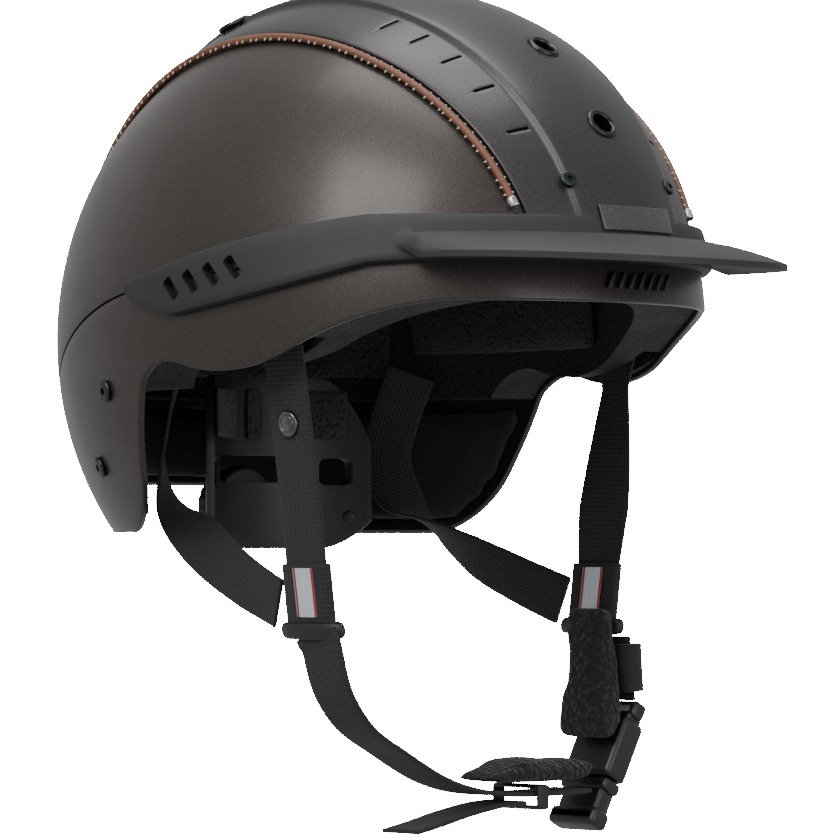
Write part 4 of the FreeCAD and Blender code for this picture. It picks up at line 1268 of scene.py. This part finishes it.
def buildBuckle():
    body = block("socketBody", (-6, 6), 12.5, (14, 40), 2.4)
    neck = block("socketNeck", (-4.2, 4.2), 11.2, (36, 43), 1.6)
    bar = block("socketBar", (-3.4, 3.4), 12.5, (41, 48), 1.7)
    cutWith(body, [block("throat", (-2.6, 2.6), 9, (5, 38), 0.6), block("window", (3, 9), 5.6, (25, 37),
                                                                        2.2)])
    cutWith(bar, [block("barSlot", (-9, 9), 9.5, (43, 45.6), 0.7)])
    ribs = [block("socketRib", (5.2, 6.5), 9.5, (16 + 2.4 * i, 17.2 + 2.4 * i), 0.5) for i in range(3)]
    socket = onBuckle([body, neck, bar] + ribs, "buckleSocket")
    dress(socket, finish["buckle"], "harness", "buckle_socket")
    latch = block("latch", (4.4, 7.1), 4.7, (26.2, 35.8), 1.2)
    rib = block("latchRib", (6.6, 7.4), 3.2, (30.4, 31.4), 0.35)
    dress(onBuckle([latch, rib], "buckleButton"), finish["latch"], "button", "buckle_button")
    waist = block("tongueWaist", (-3.6, 3.6), 10.6, (-1, 13.4), 1.8)
    shoulder = block("tongueShoulder", (-4.8, 4.8), 12.4, (8.5, 13.4), 1.5)
    foot = block("tongueFoot", (-4.8, 4.8), 12.5, (-7, 0.4), 2.0)
    cutWith(foot, [block("footSlot", (-9, 9), 10.4, (-4.4, -1.8), 0.7)])
    plate = block("adjusterPlate", (3.2, 5.2), 9.6, (-4.5, 9.5), 0.8)
    blade = block("tongueBlade", (-2.1, 2.1), 8.4, (11, 34), 1.0)
    tongue = onBuckle([waist, shoulder, foot, plate, blade], "buckleTongue")
    dress(tongue, finish["buckle"], "tongue", "buckle_tongue")


def buildKeeper():
    low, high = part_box("strap_keeper")
    loop = softBlock("strapKeeper", low, high, 1.3 * mm)
    room = Vector((-6, 1.6, 1.6)) * mm
    cutWith(loop, [softBlock("keeperRoom", low + room, high - room, 0.5 * mm)])
    dress(smooth(loop, 42), finish["plastic"], "keeper", "strap_keeper")


def buildSleeve():
    # a knitted sleeve drawn over the drop strap, seamed down its outer face
    low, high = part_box("pad_sleeve")
    middle = (low.y + high.y) / 2
    places = [Vector((79.3 * mm + 1.4 * mm * share, middle, high.z + (low.z - high.z) * share))
              for share in (0, 0.3, 0.7, 1)]
    sleeve = ribbon("padSleeve", places, [Vector((0, 1, 0))] * 4, high.y - low.y, 8.4 * mm, 30)
    dress(sleeve, finish["knit"], "harness", "pad_sleeve")
    seam = [Vector((84.4 * mm + 1.1 * mm * k / 20, middle + 9 * mm,
                    high.z - 1 * mm + (low.z - high.z + 2 * mm) * k / 20))
            for k in range(21)]
    stitches = stitchRow("sleeveStitches", seam, 2.2 * mm, 0, 1.6 * mm, 0.3 * mm)
    dress(stitches, finish["darkThread"], "harness", slot="webbing")


buildBuckle()
buildKeeper()
buildSleeve()


def keepNode(node, look):
    # a piece whose shape is already right gets its finish
    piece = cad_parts[node]
    piece.data.materials.clear()
    piece.data.materials.append(finish[look])


for node, look in (("eps_liner", "foam"), ("anchor_pin_right", "steel"), ("anchor_pin_left", "steel")):
    keepNode(node, look)
print("harness ready")


# studio
studio = {"azimuth": -44, "elevation": -1.6, "distance": 1874 * mm, "lens": 202.2,
          "aimRight": 17.5 * mm, "aimUp": -33 * mm, "sky": 0.62, "backdrop": 60.0}


def buildStudio():
    azimuth = math.radians(studio["azimuth"])
    elevation = math.radians(studio["elevation"])
    back = Vector((math.sin(azimuth) * math.cos(elevation), -math.cos(azimuth) * math.cos(elevation),
                   math.sin(elevation)))
    right = Vector((math.cos(azimuth), math.sin(azimuth), 0))
    up = back.cross(right)
    data = bpy.data.cameras.new("camera")
    data.lens = studio["lens"]
    data.clip_end = 60
    camera = bpy.data.objects.new("camera", data)
    camera.matrix_world = (Matrix.Translation(back * studio["distance"] + right * studio["aimRight"]
                                              + up * studio["aimUp"])
                           @ Matrix((right, up, back)).transposed().to_4x4())
    bpy.context.collection.objects.link(camera)
    bpy.context.scene.camera = camera
    world = bpy.data.worlds.new("studio")
    bpy.context.scene.world = world
    world.use_nodes = True
    sky = world.node_tree
    backdrop = sky.nodes["Background"]
    backdrop.inputs[0].default_value = colour(1, 1, 1)
    ray = sky.nodes.new("ShaderNodeLightPath")
    strength = sky.nodes.new("ShaderNodeMapRange")
    strength.inputs["To Min"].default_value = studio["sky"]
    strength.inputs["To Max"].default_value = studio["backdrop"]
    sky.links.new(ray.outputs["Is Camera Ray"], strength.inputs["Value"])
    sky.links.new(strength.outputs[0], backdrop.inputs[1])
    for name, place, power, size in (("key", back * 1.2 + right * -0.7 + Vector((0, 0, 1.1)), 22, 0.9),
                                     ("fill", back * 1.3 + right * 1.1 + Vector((0, 0, 0.3)), 10, 1.2),
                                     ("top", Vector((0, 0, 1.4)), 16, 1.0)):
        data = bpy.data.lights.new(name, "AREA")
        data.energy = power
        data.size = size
        lamp = bpy.data.objects.new(name, data)
        lamp.location = place
        lamp.rotation_euler = (-place).to_track_quat("-Z", "Y").to_euler()
        bpy.context.collection.objects.link(lamp)


buildStudio()
bpy.context.view_layer.update()
